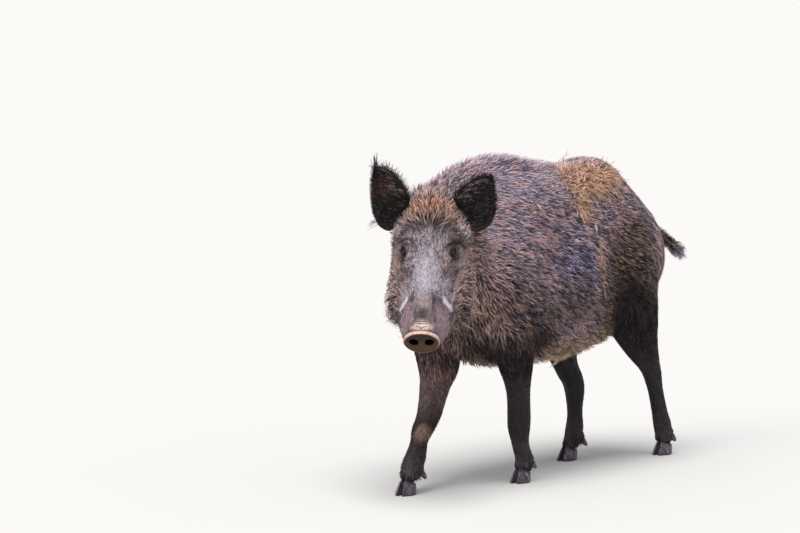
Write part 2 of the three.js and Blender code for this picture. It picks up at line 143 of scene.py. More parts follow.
def lattice_noise(p, size, seed):
    """Smooth noise from -1 to 1: random values on a lattice of this size, blended between its corners."""
    q = p / size
    cell = np.floor(q).astype(np.int64)
    f = q - cell
    f = f * f * (3 - 2 * f)
    total = np.zeros(len(p))
    for corner in range(8):
        step = np.array([corner & 1, corner >> 1 & 1, corner >> 2])
        key = (cell + step) @ LATTICE_STEPS + seed * SEED_STEP
        for shift, factor in MIXERS:
            key = (key ^ key >> shift) * factor & 0xFFFFFFFF
        weight = np.prod(np.where(step, f, 1 - f), axis=1)
        total += weight * ((key >> 16 & 0xFFFF) / 32768.0 - 1)
    return total


def lattice_vectors(p, size, seed):
    """Three independent smooth noises as one vector for each point."""
    return np.stack([lattice_noise(p, size, seed + k) for k in range(3)], -1)


def colour(red, green, blue):
    """A colour given as on a screen, 0 to 255, in the linear values of the shaders."""
    c = np.array([red, green, blue]) / 255
    return np.where(c <= 0.04045, c / 12.92, ((c + 0.055) / 1.055) ** 2.4)


# ---- the body's surfaces, at the tips of the coat -----------------------------------------
# Sections from the rump forwards: middle, yaw and pitch, half width, reach above and below it, how far
# the upper part narrows, and the power of the section.
TRUNK = [
    [0, RUMP_END, 514, 0, 0, 0, 0, 0, 0, 1],
    [0, RUMP_END - 12, 514, 0, 0, 60, 56, 68, 0.1, 1],
    [0, RUMP_END - 48, 512, 0, 0, 106, 111, 116, 0.14, 0.96],
    [0, 348, 508, 0, 0, 136, 182, 158, 0.2, 0.92],
    [0, 250, 498, 0, 0, 148, CROUP_HEIGHT - 498, 204, 0.16, 0.88],
    [0, 132, 484, 0, 0, 158, 253, 212, 0.14, 0.9],
    [0, 15, 480, 0, 0, 168, 272, 480 - BELLY_HEIGHT, 0.14, 0.92],
    [0, -100, 485, 0, 0, 166, WITHERS_HEIGHT - 485, 216, 0.22, 0.92],
    [0, -195, 495, 2, 2, 154, WITHERS_HEIGHT - 497, 220, 0.28, 0.92],
    [3, -280, 505, 8, 6, 138, 247, 216, 0.26, 0.94],
    [14, -348, 522, 17, 13, 120, 204, 186, 0.22, 0.96],
    [30, -400, 542, 24, 22, 102, 156, 168, 0.16, 0.98],
    [46, -440, 552, 29, 34, 76, 98, 130, 0.1, 1],
    [62, -470, 552, 31, 44, 0, 0, 0, 0, 1],
]
# Middle of each muscle or hollow, on either side, its size and how far it stands out.
MUSCLES = [
    ((150, -215, 520), (90, 105, 150), 13),
    ((150, -95, 560), (80, 45, 130), -7),
    ((145, 320, 510), (90, 110, 140), 13),
    ((160, 190, 440), (80, 50, 150), -12),
    ((70, 300, 735), (70, 70, 60), 8),
]


def forms_swell(places, forms):
    """How far a list of forms, each a bell of its own size, pushes points on either side outwards."""
    total = np.zeros(len(places))
    for middle, size, out in forms:
        total += out * bell(np.linalg.norm((places - np.array(middle)) / np.array(size), axis=1))
    return total


def trunk_surface(angle, t):
    """Barrel, rump and neck: sections across a bent spine, with the muscles' swellings added."""
    x, y, z, yaw, pitch, half, above, below, ridge, square = stations_at(TRUNK, t)
    _, left, up = facing(yaw, pitch)
    middle = np.stack([x, y, z], -1)
    s = signed_power(np.sin(angle), square)
    across = half * signed_power(np.cos(angle), square) * (1 - ridge * s)
    out = left * across[:, None] + up * (np.where(s > 0, above, below) * s)[:, None]
    p = middle + out
    swell = np.minimum(1, np.linalg.norm(out, axis=1) / 40) * forms_swell(either_side(p), MUSCLES)
    return p + unit(out) * swell[:, None]


# Sections along the nose: place, heights of top, bottom and widest part, half width, how far the upper
# part narrows, and the power of the section.
SKULL = [
    [-78, -85, -125, -105, 0, 0, 1],
    [-66, -44, -165, -108, 52, 0.1, 1],
    [-36, -8, -208, -110, 78, 0.16, 0.95],
    [10, 4, -226, -112, 87, 0.18, 0.88],
    [60, 7, -228, -112, 90, 0.18, 0.82],
    [112, 4, -220, -106, 89, 0.16, 0.76],
    [165, -4, -212, -98, 83, 0.2, 0.78],
    [215, -10, -194, -90, 73, 0.24, 0.82],
    [262, -12, -156, -76, 62, 0.28, 0.86],
    [305, -10, -120, -63, 55, 0.24, 0.88],
    [342, -6, -94, -50, 46, 0.18, 0.88],
    [366, -3, -76, -38, 39, 0.1, 0.88],
    [SNOUT_END, -2, -68, -35, 38, 0.06, 0.86],
    [SNOUT_END, -35, -35, -35, 0, 0, 1],
]
# The same as the muscles, in the head.
FACE_FORMS = [
    ((112, 58, -8), (26, 24, 20), 5),  # brow
    ((144, 70, -34), (20, 22, 16), -5),  # socket of the eye
    ((150, 74, -66), (50, 30, 24), 4),  # cheek bone
    ((205, 92, -165), (62, 56, 46), 20),  # jowl under its tufts
    ((236, 60, -50), (40, 20, 22), -6),  # hollow of the muzzle
    ((292, 52, -72), (44, 20, 20), 4),  # upper lip
]


def head_surface(angle, t):
    """The head: sections along the nose with a flat widest height, and the forms of the face added."""
    along, top, bottom, widest, half, ridge, square = stations_at(SKULL, t)
    s = signed_power(np.sin(angle), square)
    reach = np.maximum(np.where(s > 0, top - widest, widest - bottom), 0)
    left = half * signed_power(np.cos(angle), square) * (1 - ridge * s)
    above = widest + reach * s
    places = np.stack([along, np.abs(left), above], -1)
    swell = np.where(half > 10, forms_swell(places, FACE_FORMS), 0)
    length = np.maximum(np.hypot(left, above - widest), 1)
    left, above = left + swell * left / length, above + swell * (above - widest) / length
    lean = -math.tan(math.radians(DISC_TILT)) * (above - DISC_MIDDLE) * smooth(290, SNOUT_END, along)
    return in_head(np.minimum(along, SNOUT_END) + lean, left, above)


# The height of each leg's upper end, its foot (place, yaw, and how far behind the dewclaws stand), and
# its slices: height, middle, half width, and reach forwards and backwards.
LEGS = {
    "front_left": {
        "cut": 330,
        "foot": (69, -124, 8, 38),
        "stations": [
            [520, 98, -225, 0, 0, 0],
            [500, 98, -226, 40, 70, 70],
            [420, 98, -218, 46, 68, 74],
            [345, 101, -206, 49, 64, 66],
            [290, 95, -182, 41, 44, 46],
            [225, 88, -159, 31, 33, 35],
            [165, 83, -147, 29, 32, 31],
            [130, 79, -141, 28, 31, 30],
            [95, 76, -133, 23, 24, 27],
            [66, 74, -119, 24, 22, 26],
            [48, 71, -113, 23, 23, 25],
            [28, 69, -108, 22, 24, 22],
            [10, 69, -108, 0, 0, 0],
        ],
    },
    "front_right": {
        "cut": 330,
        "foot": (-31, -437, 10, 61),
        "stations": [
            [520, -98, -240, 0, 0, 0],
            [500, -98, -240, 42, 70, 70],
            [420, -98, -228, 48, 70, 76],
            [345, -100, -226, 50, 66, 76],
            [265, -85, -238, 43, 50, 60],
            [222, -76, -264, 35, 42, 46],
            [169, -66, -297, 30, 35, 37],
            [140, -60, -325, 28, 35, 32],
            [110, -54, -353, 22, 27, 27],
            [80, -48, -378, 26, 28, 36],
            [60, -42, -398, 28, 30, 38],
            [40, -35, -417, 24, 27, 29],
            [14, -33, -424, 0, 0, 0],
        ],
    },
    "hind_left": {
        "cut": 385,
        "foot": (80, 461, 6, 29),
        "stations": [
            [560, 90, 290, 0, 0, 0],
            [530, 86, 282, 50, 84, 96],
            [450, 90, 274, 64, 96, 124],
            [365, 98, 286, 60, 80, 92],
            [305, 97, 318, 48, 60, 60],
            [252, 93, 360, 36, 47, 46],
            [212, 91, 394, 25, 31, 34],
            [167, 88, 418, 20, 24, 25],
            [110, 85, 442, 21, 25, 26],
            [78, 83, 455, 23, 24, 31],
            [50, 81, 462, 22, 24, 27],
            [28, 80, 470, 21, 23, 23],
            [10, 80, 470, 0, 0, 0],
        ],
    },
    "hind_right": {
        "cut": 385,
        "foot": (-50, 240, 4, 56),
        "stations": [
            [560, -90, 290, 0, 0, 0],
            [530, -86, 276, 50, 84, 96],
            [450, -90, 264, 64, 96, 120],
            [365, -95, 254, 58, 80, 92],
            [300, -89, 250, 44, 58, 62],
            [240, -79, 266, 33, 42, 44],
            [202, -74, 285, 30, 35, 40],
            [168, -70, 299, 25, 29, 34],
            [112, -65, 296, 20, 24, 26],
            [78, -61, 288, 22, 24, 31],
            [52, -57, 274, 23, 26, 32],
            [30, -52, 256, 21, 24, 26],
            [10, -50, 250, 0, 0, 0],
        ],
    },
}
# Middle and radius along the tail.
TAIL = [
    [0, 434, 590, 0],
    [0, 450, 582, 17],
    [10, 484, 562, 15],
    [28, 508, 543, 13],
    [44, 524, 524, 13],
    [57, 536, 508, 14],
    [66, 545, 496, 16],
    [73, 551, 486, 13],
    [77, 555, 479, 0],
]


def leg_surface(leg, grooves=0.0):
    """A leg in level slices, each an ellipse with its own reach forwards and backwards.

    Grooves are pressed in on both sides between the bone and the tendon behind it.
    """

    def surface(angle, t):
        z, x, y, half, fore, aft = stations_at(leg["stations"], t)
        s = np.sin(angle)
        reach = np.maximum(np.where(s > 0, fore, aft), 0)
        shank = bell((z - leg["cut"] * 0.30) / 34) + 0.9 * bell((z - leg["cut"] * 0.62) / 36)
        size = 1 - grooves * shank * (bell((s + 0.42) / 0.2) + 0.5 * bell((s - 0.5) / 0.2))
        size = size - 1.5 * grooves * bell(np.cos(angle) / 0.22) * smooth(84, 50, z)
        return np.stack([x + np.maximum(half, 0) * size * np.cos(angle), y - reach * size * s, z], -1)

    return surface


def tail_surface(angle, t):
    """The tail: round sections across its bent middle line."""
    x, y, z, radius = stations_at(TAIL, t)
    middle = np.stack([x, y, z], -1)
    ahead = np.stack(stations_at(TAIL, np.minimum(t + 0.01, 1))[:3], -1)
    behind = np.stack(stations_at(TAIL, np.maximum(t - 0.01, 0))[:3], -1)
    along = unit(ahead - behind)
    side = unit(np.cross(np.array([0.0, 0.0, 1.0]), along))
    other = np.cross(along, side)
    ring = side * np.cos(angle)[:, None] + other * np.sin(angle)[:, None]
    return middle + ring * np.maximum(radius, 0)[:, None]


def beside_head(side, place):
    """A point beside the head: out to one side of the poll, forward of it and above it."""
    out, forward, rise = place
    return POLL + LEVEL[1] * (side * out) + LEVEL[0] * forward + LEVEL[2] * rise


def bezier(points, t):
    """A Bezier curve through its first and last point, at the shares t."""
    points = [np.asarray(p)[None, :] for p in points]
    t = t[:, None]
    while len(points) > 1:
        points = [a + (b - a) * t for a, b in zip(points, points[1:])]
    return points[0]


def ear_opening(side):
    """The way the cup of an ear opens."""
    return facing(HEAD_YAW + side * EAR_TURN, 0.0)[0]


def ear_surface(side, tip):
    """An ear: a leaf between its two edges, hollowed to the front, thin towards its rim and tip."""
    out, _, rise = tip
    inner = [EAR_BASE_TOP, (out - 52, 26, rise - 2), tip]
    outer = [EAR_BASE_BOTTOM, (out + 10, 14, -84), (out + 14, 34, rise - 58), tip]
    inner, outer = ([beside_head(side, p) for p in edge] for edge in (inner, outer))
    opening = ear_opening(side)

    def surface(angle, t):
        along = np.clip((t * 11 - 1) / 10, 0, 1)
        across = np.where(t == 0, 0.5, (1 - np.cos(angle)) / 2)
        edgeward = 4 * across * (1 - across)
        hollow = EAR_CUP * edgeward**0.8 * (1 - 0.6 * along**2)
        thick = np.where(t == 0, 0, EAR_THICKNESS / 2 * np.sin(angle) * side * (1 - 0.45 * along))
        # Three low ribs run up the inside of the cup, and a lip stands inside each rim.
        ribs = sum(size * bell((across - at) / 0.045) for at, size in ((0.3, 3.4), (0.46, 2.2), (0.64, 3.0)))
        lips = 1.6 * (bell((across - 0.07) / 0.03) + bell((across - 0.93) / 0.03))
        inside = np.sin(angle) * side > 0
        relief = ribs * smooth(0, 0.2, along) * (1 - along) ** 0.7 + lips * smooth(0, 0.1, along)
        thick = thick + np.where(inside, relief, 0)
        leaf = bezier(inner, along) * (1 - across)[:, None] + bezier(outer, along) * across[:, None]
        return leaf + opening * (thick - hollow)[:, None]

    return surface


# ---- meshes -------------------------------------------------------------------------------
def closed_grid(place, around, along):
    """Points and faces of a closed surface: rings of points, and one point at each end."""
    angle = 2 * np.pi * np.arange(around) / around
    t = np.arange(1, along) / along
    rings = place(np.tile(angle, along - 1), np.repeat(t, around))
    ends = place(np.zeros(2), np.array([0.0, 1.0]))
    index = np.arange((along - 1) * around).reshape(along - 1, around)
    beside = np.roll(index, -1, axis=1)
    quads = np.stack([index[:-1], beside[:-1], beside[1:], index[1:]], -1).reshape(-1, 4)
    first, last = len(rings), len(rings) + 1
    cap = np.full(around, first)
    tip = np.full(around, last)
    triangles = np.concatenate(
        [np.stack([cap, beside[0], index[0]], -1), np.stack([tip, index[-1], beside[-1]], -1)]
    )
    points = np.concatenate([rings, ends])
    if enclosed(points, quads, triangles) < 0:
        quads, triangles = quads[:, ::-1], triangles[:, ::-1]
    return points, quads, triangles


def corner_triangles(quads, triangles):
    """All faces as triangles."""
    return np.concatenate([quads[:, [0, 1, 2]], quads[:, [0, 2, 3]], triangles])


def enclosed(points, quads, triangles):
    """The volume inside, which is negative where the faces look inwards."""
    a, b, c = (points[corner_triangles(quads, triangles)[:, k]] for k in range(3))
    return np.sum(a * np.cross(b, c)) / 6


def vertex_normals(points, triangles):
    """The outward direction at each point, from the faces that meet there."""
    corners = points[triangles]
    face = np.cross(corners[:, 1] - corners[:, 0], corners[:, 2] - corners[:, 0])
    total = np.zeros_like(points)
    for corner in range(3):
        for axis in range(3):
            total[:, axis] += np.bincount(triangles[:, corner], face[:, axis], len(points))
    return unit(total)


def drawn_in(shape, depth):
    """A closed shape moved inwards along its normals, by the depth of the coat at each point."""
    points, quads, triangles = shape
    normals = vertex_normals(points, corner_triangles(quads, triangles))
    return points - normals * depth(points)[:, None], quads, triangles


def to_row(p):
    """Millimetres in the animal's coordinates as metres in the row frame."""
    return (p - FLOOR_CENTRE) * MILLIMETRE


def new_object(name, mesh):
    """A mesh as an object of the scene."""
    made = bpy.data.objects.new(name, mesh)
    bpy.context.scene.collection.objects.link(made)
    return made


def join_shapes(shapes):
    """Several shapes as one list of points and faces."""
    points, quads, triangles, count = [], [], [], 0
    for p, q, t in shapes:
        points.append(p)
        quads.append(q + count)
        triangles.append(t + count)
        count += len(p)
    return np.concatenate(points), np.concatenate(quads), np.concatenate(triangles)


def mesh_of(name, shape):
    """A smooth-shaded Blender mesh of a shape, in metres in the row frame."""
    points, quads, triangles = shape
    mesh = bpy.data.meshes.new(name)
    mesh.from_pydata(to_row(points), [], quads.tolist() + triangles.tolist())
    mesh.shade_smooth()
    return mesh


def read_mesh(mesh):
    """Points in millimetres of the animal's coordinates, and the triangles, of a Blender mesh."""
    points = np.empty(len(mesh.vertices) * 3)
    mesh.vertices.foreach_get("co", points)
    mesh.calc_loop_triangles()
    triangles = np.empty(len(mesh.loop_triangles) * 3, np.int64)
    mesh.loop_triangles.foreach_get("vertices", triangles)
    return points.reshape(-1, 3) / MILLIMETRE + FLOOR_CENTRE, triangles.reshape(-1, 3)


def write_points(mesh, points):
    """Moves the vertices of a mesh to points in the animal's coordinates."""
    mesh.vertices.foreach_set("co", to_row(points).astype(np.float32).ravel())
    mesh.update()


# ---- depth of the coat --------------------------------------------------------------------
NAPE_NORMAL = facing(30.0, 24.0)[0]
NAPE = in_head(-22.0, 0.0, 0.0)
TAIL_STEPS, TAIL_COAT = 40, 4.0


def leg_nearness(p):
    """The leg nearest to each point.

    Gives its number, how many of its widths away it is, its middle at that height, and how far
    below its cut the point lies.
    """
    best = np.full(len(p), 9.0)
    which = np.zeros(len(p), int)
    middle = np.zeros((len(p), 2))
    drop = np.zeros(len(p))
    for number, leg in enumerate(LEGS.values()):
        table = np.array(leg["stations"])[::-1]
        z = np.clip(p[:, 2], table[0, 0], table[-1, 0])
        x, y, half, fore, aft = (np.interp(z, table[:, 0], table[:, k]) for k in range(1, 6))
        reach = np.where(p[:, 1] < y, fore, aft)
        far = np.hypot((p[:, 0] - x) / np.maximum(half, 18), (p[:, 1] - y) / np.maximum(reach, 18))
        near = far < best
        best = np.where(near, far, best)
        which = np.where(near, number, which)
        middle[near] = np.stack([x, y], -1)[near]
        drop = np.where(near, leg["cut"] - p[:, 2], drop)
    return which, best, middle, drop


def head_share(p):
    """How far a point belongs to the head, from 0 on the neck to 1 ahead of the ears."""
    ahead = (p - NAPE) @ NAPE_NORMAL
    return smooth(-45, 15, ahead) * smooth(300, 335, p[:, 2])


def leg_share(p):
    """How far a point belongs to the short-haired part of a leg."""
    _, out, _, drop = leg_nearness(p)
    return smooth(-70, 30, drop) * (1 - smooth(1.15, 1.7, out))


def tail_distance(p):
    """Distance from the tail's middle line, and the share along it."""
    line = np.stack(stations_at(TAIL, np.linspace(0, 1, TAIL_STEPS))[:3], -1)
    far = np.linalg.norm(p[:, None, :] - line[None], axis=2)
    return far.min(axis=1), far.argmin(axis=1) / (TAIL_STEPS - 1)


def tail_share(p):
    """How far a point belongs to the tail, and the share along the tail's middle line."""
    far, along = tail_distance(p)
    return smooth(24, 16, far) * smooth(458, 474, p[:, 1]), along


def trunk_depth(p):
    """The coat over the trunk: deepest in the mane over the shoulders, thin at the flank fold."""
    mane = bell(p[:, 0] / 55) * smooth(560, 640, p[:, 2]) * smooth(190, 60, p[:, 1])
    back = bell(p[:, 0] / 70) * smooth(560, 640, p[:, 2])
    belly = smooth(330, 285, p[:, 2])
    behind_cheek = bell(np.linalg.norm((p - [130, -300, 530]) / [60, 60, 110], axis=1))
    return 12 + 9 * mane + 4 * back + 8 * belly - 8 * behind_cheek


def head_depth(p):
    """The coat over the head: very thin on the snout, deep on the crown, jowls and throat."""
    a, _, u = head_coordinates(p)
    top = smooth(-70, -25, u)
    crown = 15 * smooth(105, 30, a) * top
    throat = 7 * smooth(-135, -175, u) * smooth(330, 250, a)
    jowl = bell((a - 205) / 80) * bell((u + 160) / 60)
    return 0.9 + 1.6 * smooth(370, 330, a) + 1.4 * smooth(285, 225, a) * (1 - top) + crown + throat + 5 * jowl


def leg_depth(leg):
    """The coat over a leg: short, and drawn well in below the upper edge of the hooves."""
    x, y, yaw, _ = leg["foot"]
    forward = facing(float(yaw), 0.0)[0]

    def depth(p):
        ahead = (p - np.array([x, y, 0])) @ forward
        edge = HOOF_HEIGHT + math.tan(math.radians(CORONET_SLOPE)) * ahead
        inside = smooth(-7, -14, p[:, 2] - edge)
        pastern = 1.8 * smooth(75, 55, p[:, 2])
        return 2.2 + pastern + 9 * smooth(leg["cut"] - 60, leg["cut"] + 60, p[:, 2]) + 4.5 * inside

    return depth


# ---- the skin -----------------------------------------------------------------------------
# Metres, for the remesh that joins trunk, head, legs and tail.
VOXEL = 0.0072


def with_modifier(mesh, kind, **settings):
    """A new mesh: the old one after one modifier."""
    made = new_object("working", mesh)
    modifier = made.modifiers.new(kind, kind)
    for name, value in settings.items():
        setattr(modifier, name, value)
    graph = bpy.context.evaluated_depsgraph_get()
    result = bpy.data.meshes.new_from_object(made.evaluated_get(graph))
    bpy.data.objects.remove(made)
    return result


def relax(points, edges, rounds, share):
    """Moves points towards the middle of their neighbours, then back, which smooths without shrinking."""
    a, b = edges.T
    count = len(points)
    neighbours = np.maximum(np.bincount(a, minlength=count) + np.bincount(b, minlength=count), 1)
    for factor in [0.55, -0.57] * rounds:
        total = np.stack(
            [
                np.bincount(a, points[b, k], count) + np.bincount(b, points[a, k], count)
                for k in range(3)
            ],
            -1,
        )
        points = points + factor * share[:, None] * (total / neighbours[:, None] - points)
    return points


def mesh_edges(mesh):
    """The pairs of vertices that the edges join."""
    edges = np.empty(len(mesh.edges) * 2, np.int64)
    mesh.edges.foreach_get("vertices", edges)
    return edges.reshape(-1, 2)


def refine(mesh, share_of):
    """Halves the faces of a mesh where share_of its points is over a half, and smooths what is new."""
    points, _ = read_mesh(mesh)
    chosen = share_of(points) > 0.5
    work = bmesh.new()
    work.from_mesh(mesh)
    work.verts.ensure_lookup_table()
    edges = [e for e in work.edges if chosen[e.verts[0].index] and chosen[e.verts[1].index]]
    bmesh.ops.subdivide_edges(work, edges=edges, cuts=1, use_grid_fill=True)
    work.to_mesh(mesh)
    work.free()
    points, _ = read_mesh(mesh)
    share = smooth(0.3, 0.8, share_of(points))
    write_points(mesh, relax(points, mesh_edges(mesh), rounds=4, share=share))
    return mesh


def eye_frame(side):
    """Middle of an eye, and its directions: out of the head, towards the snout along the lids, and up."""
    gaze = unit(0.50 * HEAD[0] + 0.50 * side * HEAD[1] + 0.70 * HEAD[2])
    middle = in_head(float(EYE_ALONG), float(side * EYE_APART), float(-EYE_BELOW)) - gaze * EYE_SUNK
    front = unit(HEAD[0] * 0.85 - HEAD[2] * 0.25)
    front = unit(front - gaze * (front @ gaze))
    up = np.cross(gaze, front)
    up = up * np.sign(up[2])
    return middle, gaze, front, up


def around_eye(p, side):
    """Points as seen from an eye: towards the snout, upwards and out of the head from its middle."""
    middle, gaze, front, up = eye_frame(side)
    return ((p - middle) @ np.stack([front, up, gaze]).T).T


def near_eyes(p, reach):
    """1 within reach of either eye, falling to 0 a little beyond."""
    share = np.zeros(len(p))
    for side in SIDES.values():
        far = np.linalg.norm(p - eye_frame(side)[0], axis=1)
        share = np.maximum(share, smooth(reach + 8, reach, far))
    return share


def face_share(p):
    """The front of the face, where the skin needs fine detail."""
    a, _, u = head_coordinates(p)
    return smooth(225, 255, a) * smooth(-160, -140, u) * smooth(300, 340, p[:, 2])


def nose_share(p):
    """The bare plate behind the snout's disc, where its creases need the finest skin."""
    a, l, u = head_coordinates(p)
    return smooth(335, 342, a) * smooth(36, 30, np.abs(l)) * smooth(-50, -40, u)


def lid_opening(x):
    """Half the height of the opening between the lids, at a distance from its middle towards the snout."""
    return 6.4 * np.maximum(1 - ((x - 0.5) / 9.6) ** 2, 0) ** 0.7


def lid_edges(p):
    """1 on the dark wet edges of the lids and 0 away from them."""
    share = np.zeros(len(p))
    for side in SIDES.values():
        x, y, h = around_eye(p, side)
        edge = smooth(3.2, 1.4, np.abs(np.abs(y) - lid_opening(x)))
        share = np.maximum(share, edge * smooth(14.5, 13, np.hypot(x, y)) * (h > 0))
    return share


def set_lids(p):
    """Lays the skin over each eyeball as two lids with an almond opening, under an arched fold and a brow."""
    for side in SIDES.values():
        gaze = eye_frame(side)[1]
        x, y, h = around_eye(p, side)
        r = np.hypot(x, y)
        here = (r < 34) & (h > -14)
        lid = np.sqrt(np.maximum((EYE_RADIUS + 1.2) ** 2 - r**2, 0))
        opening = lid_opening(x)
        gap = np.abs(y) - opening
        share = smooth(17, 11.5, r)
        target = h * (1 - share) + np.maximum(lid, h * 0.6) * share
        target = target + 0.8 * bell((gap - 1.2) / 0.8) * (np.abs(x) < 12.5)
        above, below = smooth(1, 8, y), smooth(-1, -7, y)
        target = target - 1.1 * bell((y - opening - 4.4) / 0.9) * smooth(13, 9, np.abs(x)) * above
        brow = 1.6 * bell((r - 23) / 4) - 1.8 * bell((r - 17.6) / 1.7)
        bags = 1.2 * bell((r - 12.5) / 2) - 1.5 * bell((r - 16.5) / 1.4) - 1.0 * bell((r - 21.5) / 1.6)
        target = target + above * brow
        target = target + below * bags
        target = target - 2.2 * bell(np.hypot(x - 13, y + 6) / 2.4)
        ball = np.sqrt(np.maximum(EYE_RADIUS**2 - r**2, 0))
        target = np.where((gap < 0) & (r < 12), ball - 3.2, target)
        p = np.where(here[:, None], p + gaze * (target - h)[:, None], p)
    return p


MOUTH = np.array([[362, -70], [342, -73], [305, -84], [268, -103], [238, -124], [222, -138]], float)


def from_mouth(a, u):
    """Distance from the line of the mouth in the side view, positive above it."""
    line = np.interp(a, MOUTH[::-1, 0], MOUTH[::-1, 1])
    return u - line


# Folds round the eyes and grooves of the nose, as lines in the head: width, depth, darkness and their
# points. The darkness is painted shade in the fold.
FOLDS = [
    (2.2, 3.2, 1.4, [(105, -73, -41), (115, -56, -14), (119, -43, -5), (129, -34, -3), (143, -28, -4)]),
    (3.4, 3.2, 1.7, [(145, 44, -12), (131, 48, -11), (119, 57, -17), (109, 69, -33), (106, 76, -49)]),
    (5.0, -2.6, 0.0, [(96, -70, -34), (106, -53, -8), (110, -38, 0), (122, -27, 1), (140, -20, 0)]),
    (5.0, -2.4, 0.0, [(150, 36, -6), (126, 40, -6), (111, 50, -10), (100, 66, -26), (97, 76, -44)]),
    (2.2, 1.3, 0.6, [(158, -64, -41), (170, -44, -18), (163, -34, -11)]),
    (2.4, 1.5, 0.7, [(163, 48, -21), (164, 63, -39)]),
    (3.4, 2.4, 1.0, [(149, -57, -28), (151, -56, -29)]),
    (3.2, 2.4, 0.9, [(150, 56, -27), (153, 57, -30)]),
    (4.2, 0.6, 1.1, [(262, 19, -14), (279, 23, -18), (335, 28, -17)]),
    (3.2, 0.4, 0.9, [(304, -20, -14), (334, -17, -10)]),
]


def folds(p):
    """How deep the folds of the face are at points, and how dark their painted shade is."""
    q = np.stack(head_coordinates(p), -1)
    depth, dark = np.zeros(len(p)), np.zeros(len(p))
    for width, deep, shade, places in FOLDS:
        places = np.array(places, float)
        far = np.full(len(p), 99.0)
        for start, end in zip(places[:-1], places[1:]):
            share = np.clip((q - start) @ (end - start) / ((end - start) @ (end - start)), 0, 1)
            far = np.minimum(far, np.linalg.norm(q - start - share[:, None] * (end - start), axis=1))
        depth = depth + deep * bell(far / width)
        dark = np.maximum(dark, shade * bell(far / (1.2 * width)))
    a, l, u = q.T
    line = np.minimum(np.abs(a - 346 - 0.004 * l**2), np.abs(a - 353 + 0.002 * l**2))
    line = np.minimum(line, np.abs(a + 0.5 * np.abs(l) - 366))
    creases = bell(line / 1.5) * smooth(17, 10, np.abs(l)) * smooth(-40, -20, u)
    return np.maximum(depth, 1.4 * creases), np.maximum(dark, 1.1 * creases)


def carve_face(p, normals):
    """The face's relief along its normals: creases behind the disc, mouth, nose and whisker pads."""
    a, l, u = head_coordinates(p)
    side = np.abs(l)
    top = smooth(-36, -14, u)
    wobble = 1.6 * lattice_noise(p, 9, 51)
    out = np.zeros(len(p))
    upright = bell(((side + wobble) % 5.5 - 2.7) / 0.8) * smooth(20, 25, side) * smooth(350, 360, a)
    out = (out - 1.0 * upright) * top
    groove = 21 + 0.05 * (352 - a)
    grooved = -2.6 * bell((side - groove) / 2.8) + 1.2 * bell((side - groove - 7) / 5)
    out += grooved * smooth(258, 290, a) * smooth(-52, -26, u)
    over = from_mouth(a, u)
    mouth = -5.2 * bell(over / 3.2) + 2.4 * bell((over - 7) / 4.5) + 2.0 * bell((over + 7) / 4)
    out += mouth * smooth(218, 240, a) * smooth(12, 26, side)
    out += -2.0 * bell((a - 369) / 4) * (1 - top * smooth(30, 14, side))
    out -= folds(p)[0]
    out += 1.4 * bell(side / 9) * smooth(300, 260, a) * smooth(120, 170, a) * top
    out += 2.0 * bell((side - 46) / 10) * bell((a - 322) / 24) * bell((u + 50) / 18)
    return p + normals * (out * smooth(300, 340, p[:, 2]))[:, None]


def body_skin():
    """The one closed skin of trunk, head, legs and tail, with the face's details."""
    shapes = [
        drawn_in(closed_grid(trunk_surface, around=96, along=130), trunk_depth),
        drawn_in(closed_grid(head_surface, around=88, along=104), head_depth),
        drawn_in(closed_grid(tail_surface, around=20, along=48), lambda p: np.full(len(p), TAIL_COAT)),
    ]
    for leg in LEGS.values():
        limb = closed_grid(leg_surface(leg, grooves=0.17), around=48, along=110)
        shapes.append(drawn_in(limb, leg_depth(leg)))
        for side in SIDES.values():
            shapes.append(closed_grid(dewclaw_base(leg["foot"], side), around=20, along=20))
    mesh = mesh_of("skin", join_shapes(shapes))
    mesh = with_modifier(mesh, "REMESH", mode="VOXEL", voxel_size=VOXEL, use_smooth_shade=True)
    points, _ = read_mesh(mesh)
    write_points(mesh, relax(points, mesh_edges(mesh), rounds=7, share=np.ones(len(points))))
    refine(mesh, lambda p: head_share(p) * smooth(60, 90, head_coordinates(p)[0]))
    refine(mesh, lambda p: np.maximum(face_share(p), near_eyes(p, 32)))
    refine(mesh, lambda p: np.maximum(near_eyes(p, 24), nose_share(p)))
    points, triangles = read_mesh(mesh)
    points = carve_face(points, vertex_normals(points, triangles))
    points = set_lids(points)
    write_points(mesh, points)
    return mesh


PAD_HALF_WIDTH, PAD_HALF_HEIGHT, PAD_THICKNESS = 40, 28, 10.6


def disc_frame():
    """Middle of the pad's back, and its directions: forward, left and up, one row each."""
    middle = in_head(SNOUT_END + 0.35, 0.0, float(DISC_MIDDLE))
    return middle, np.array(facing(float(HEAD_YAW), float(HEAD_PITCH - DISC_TILT)))


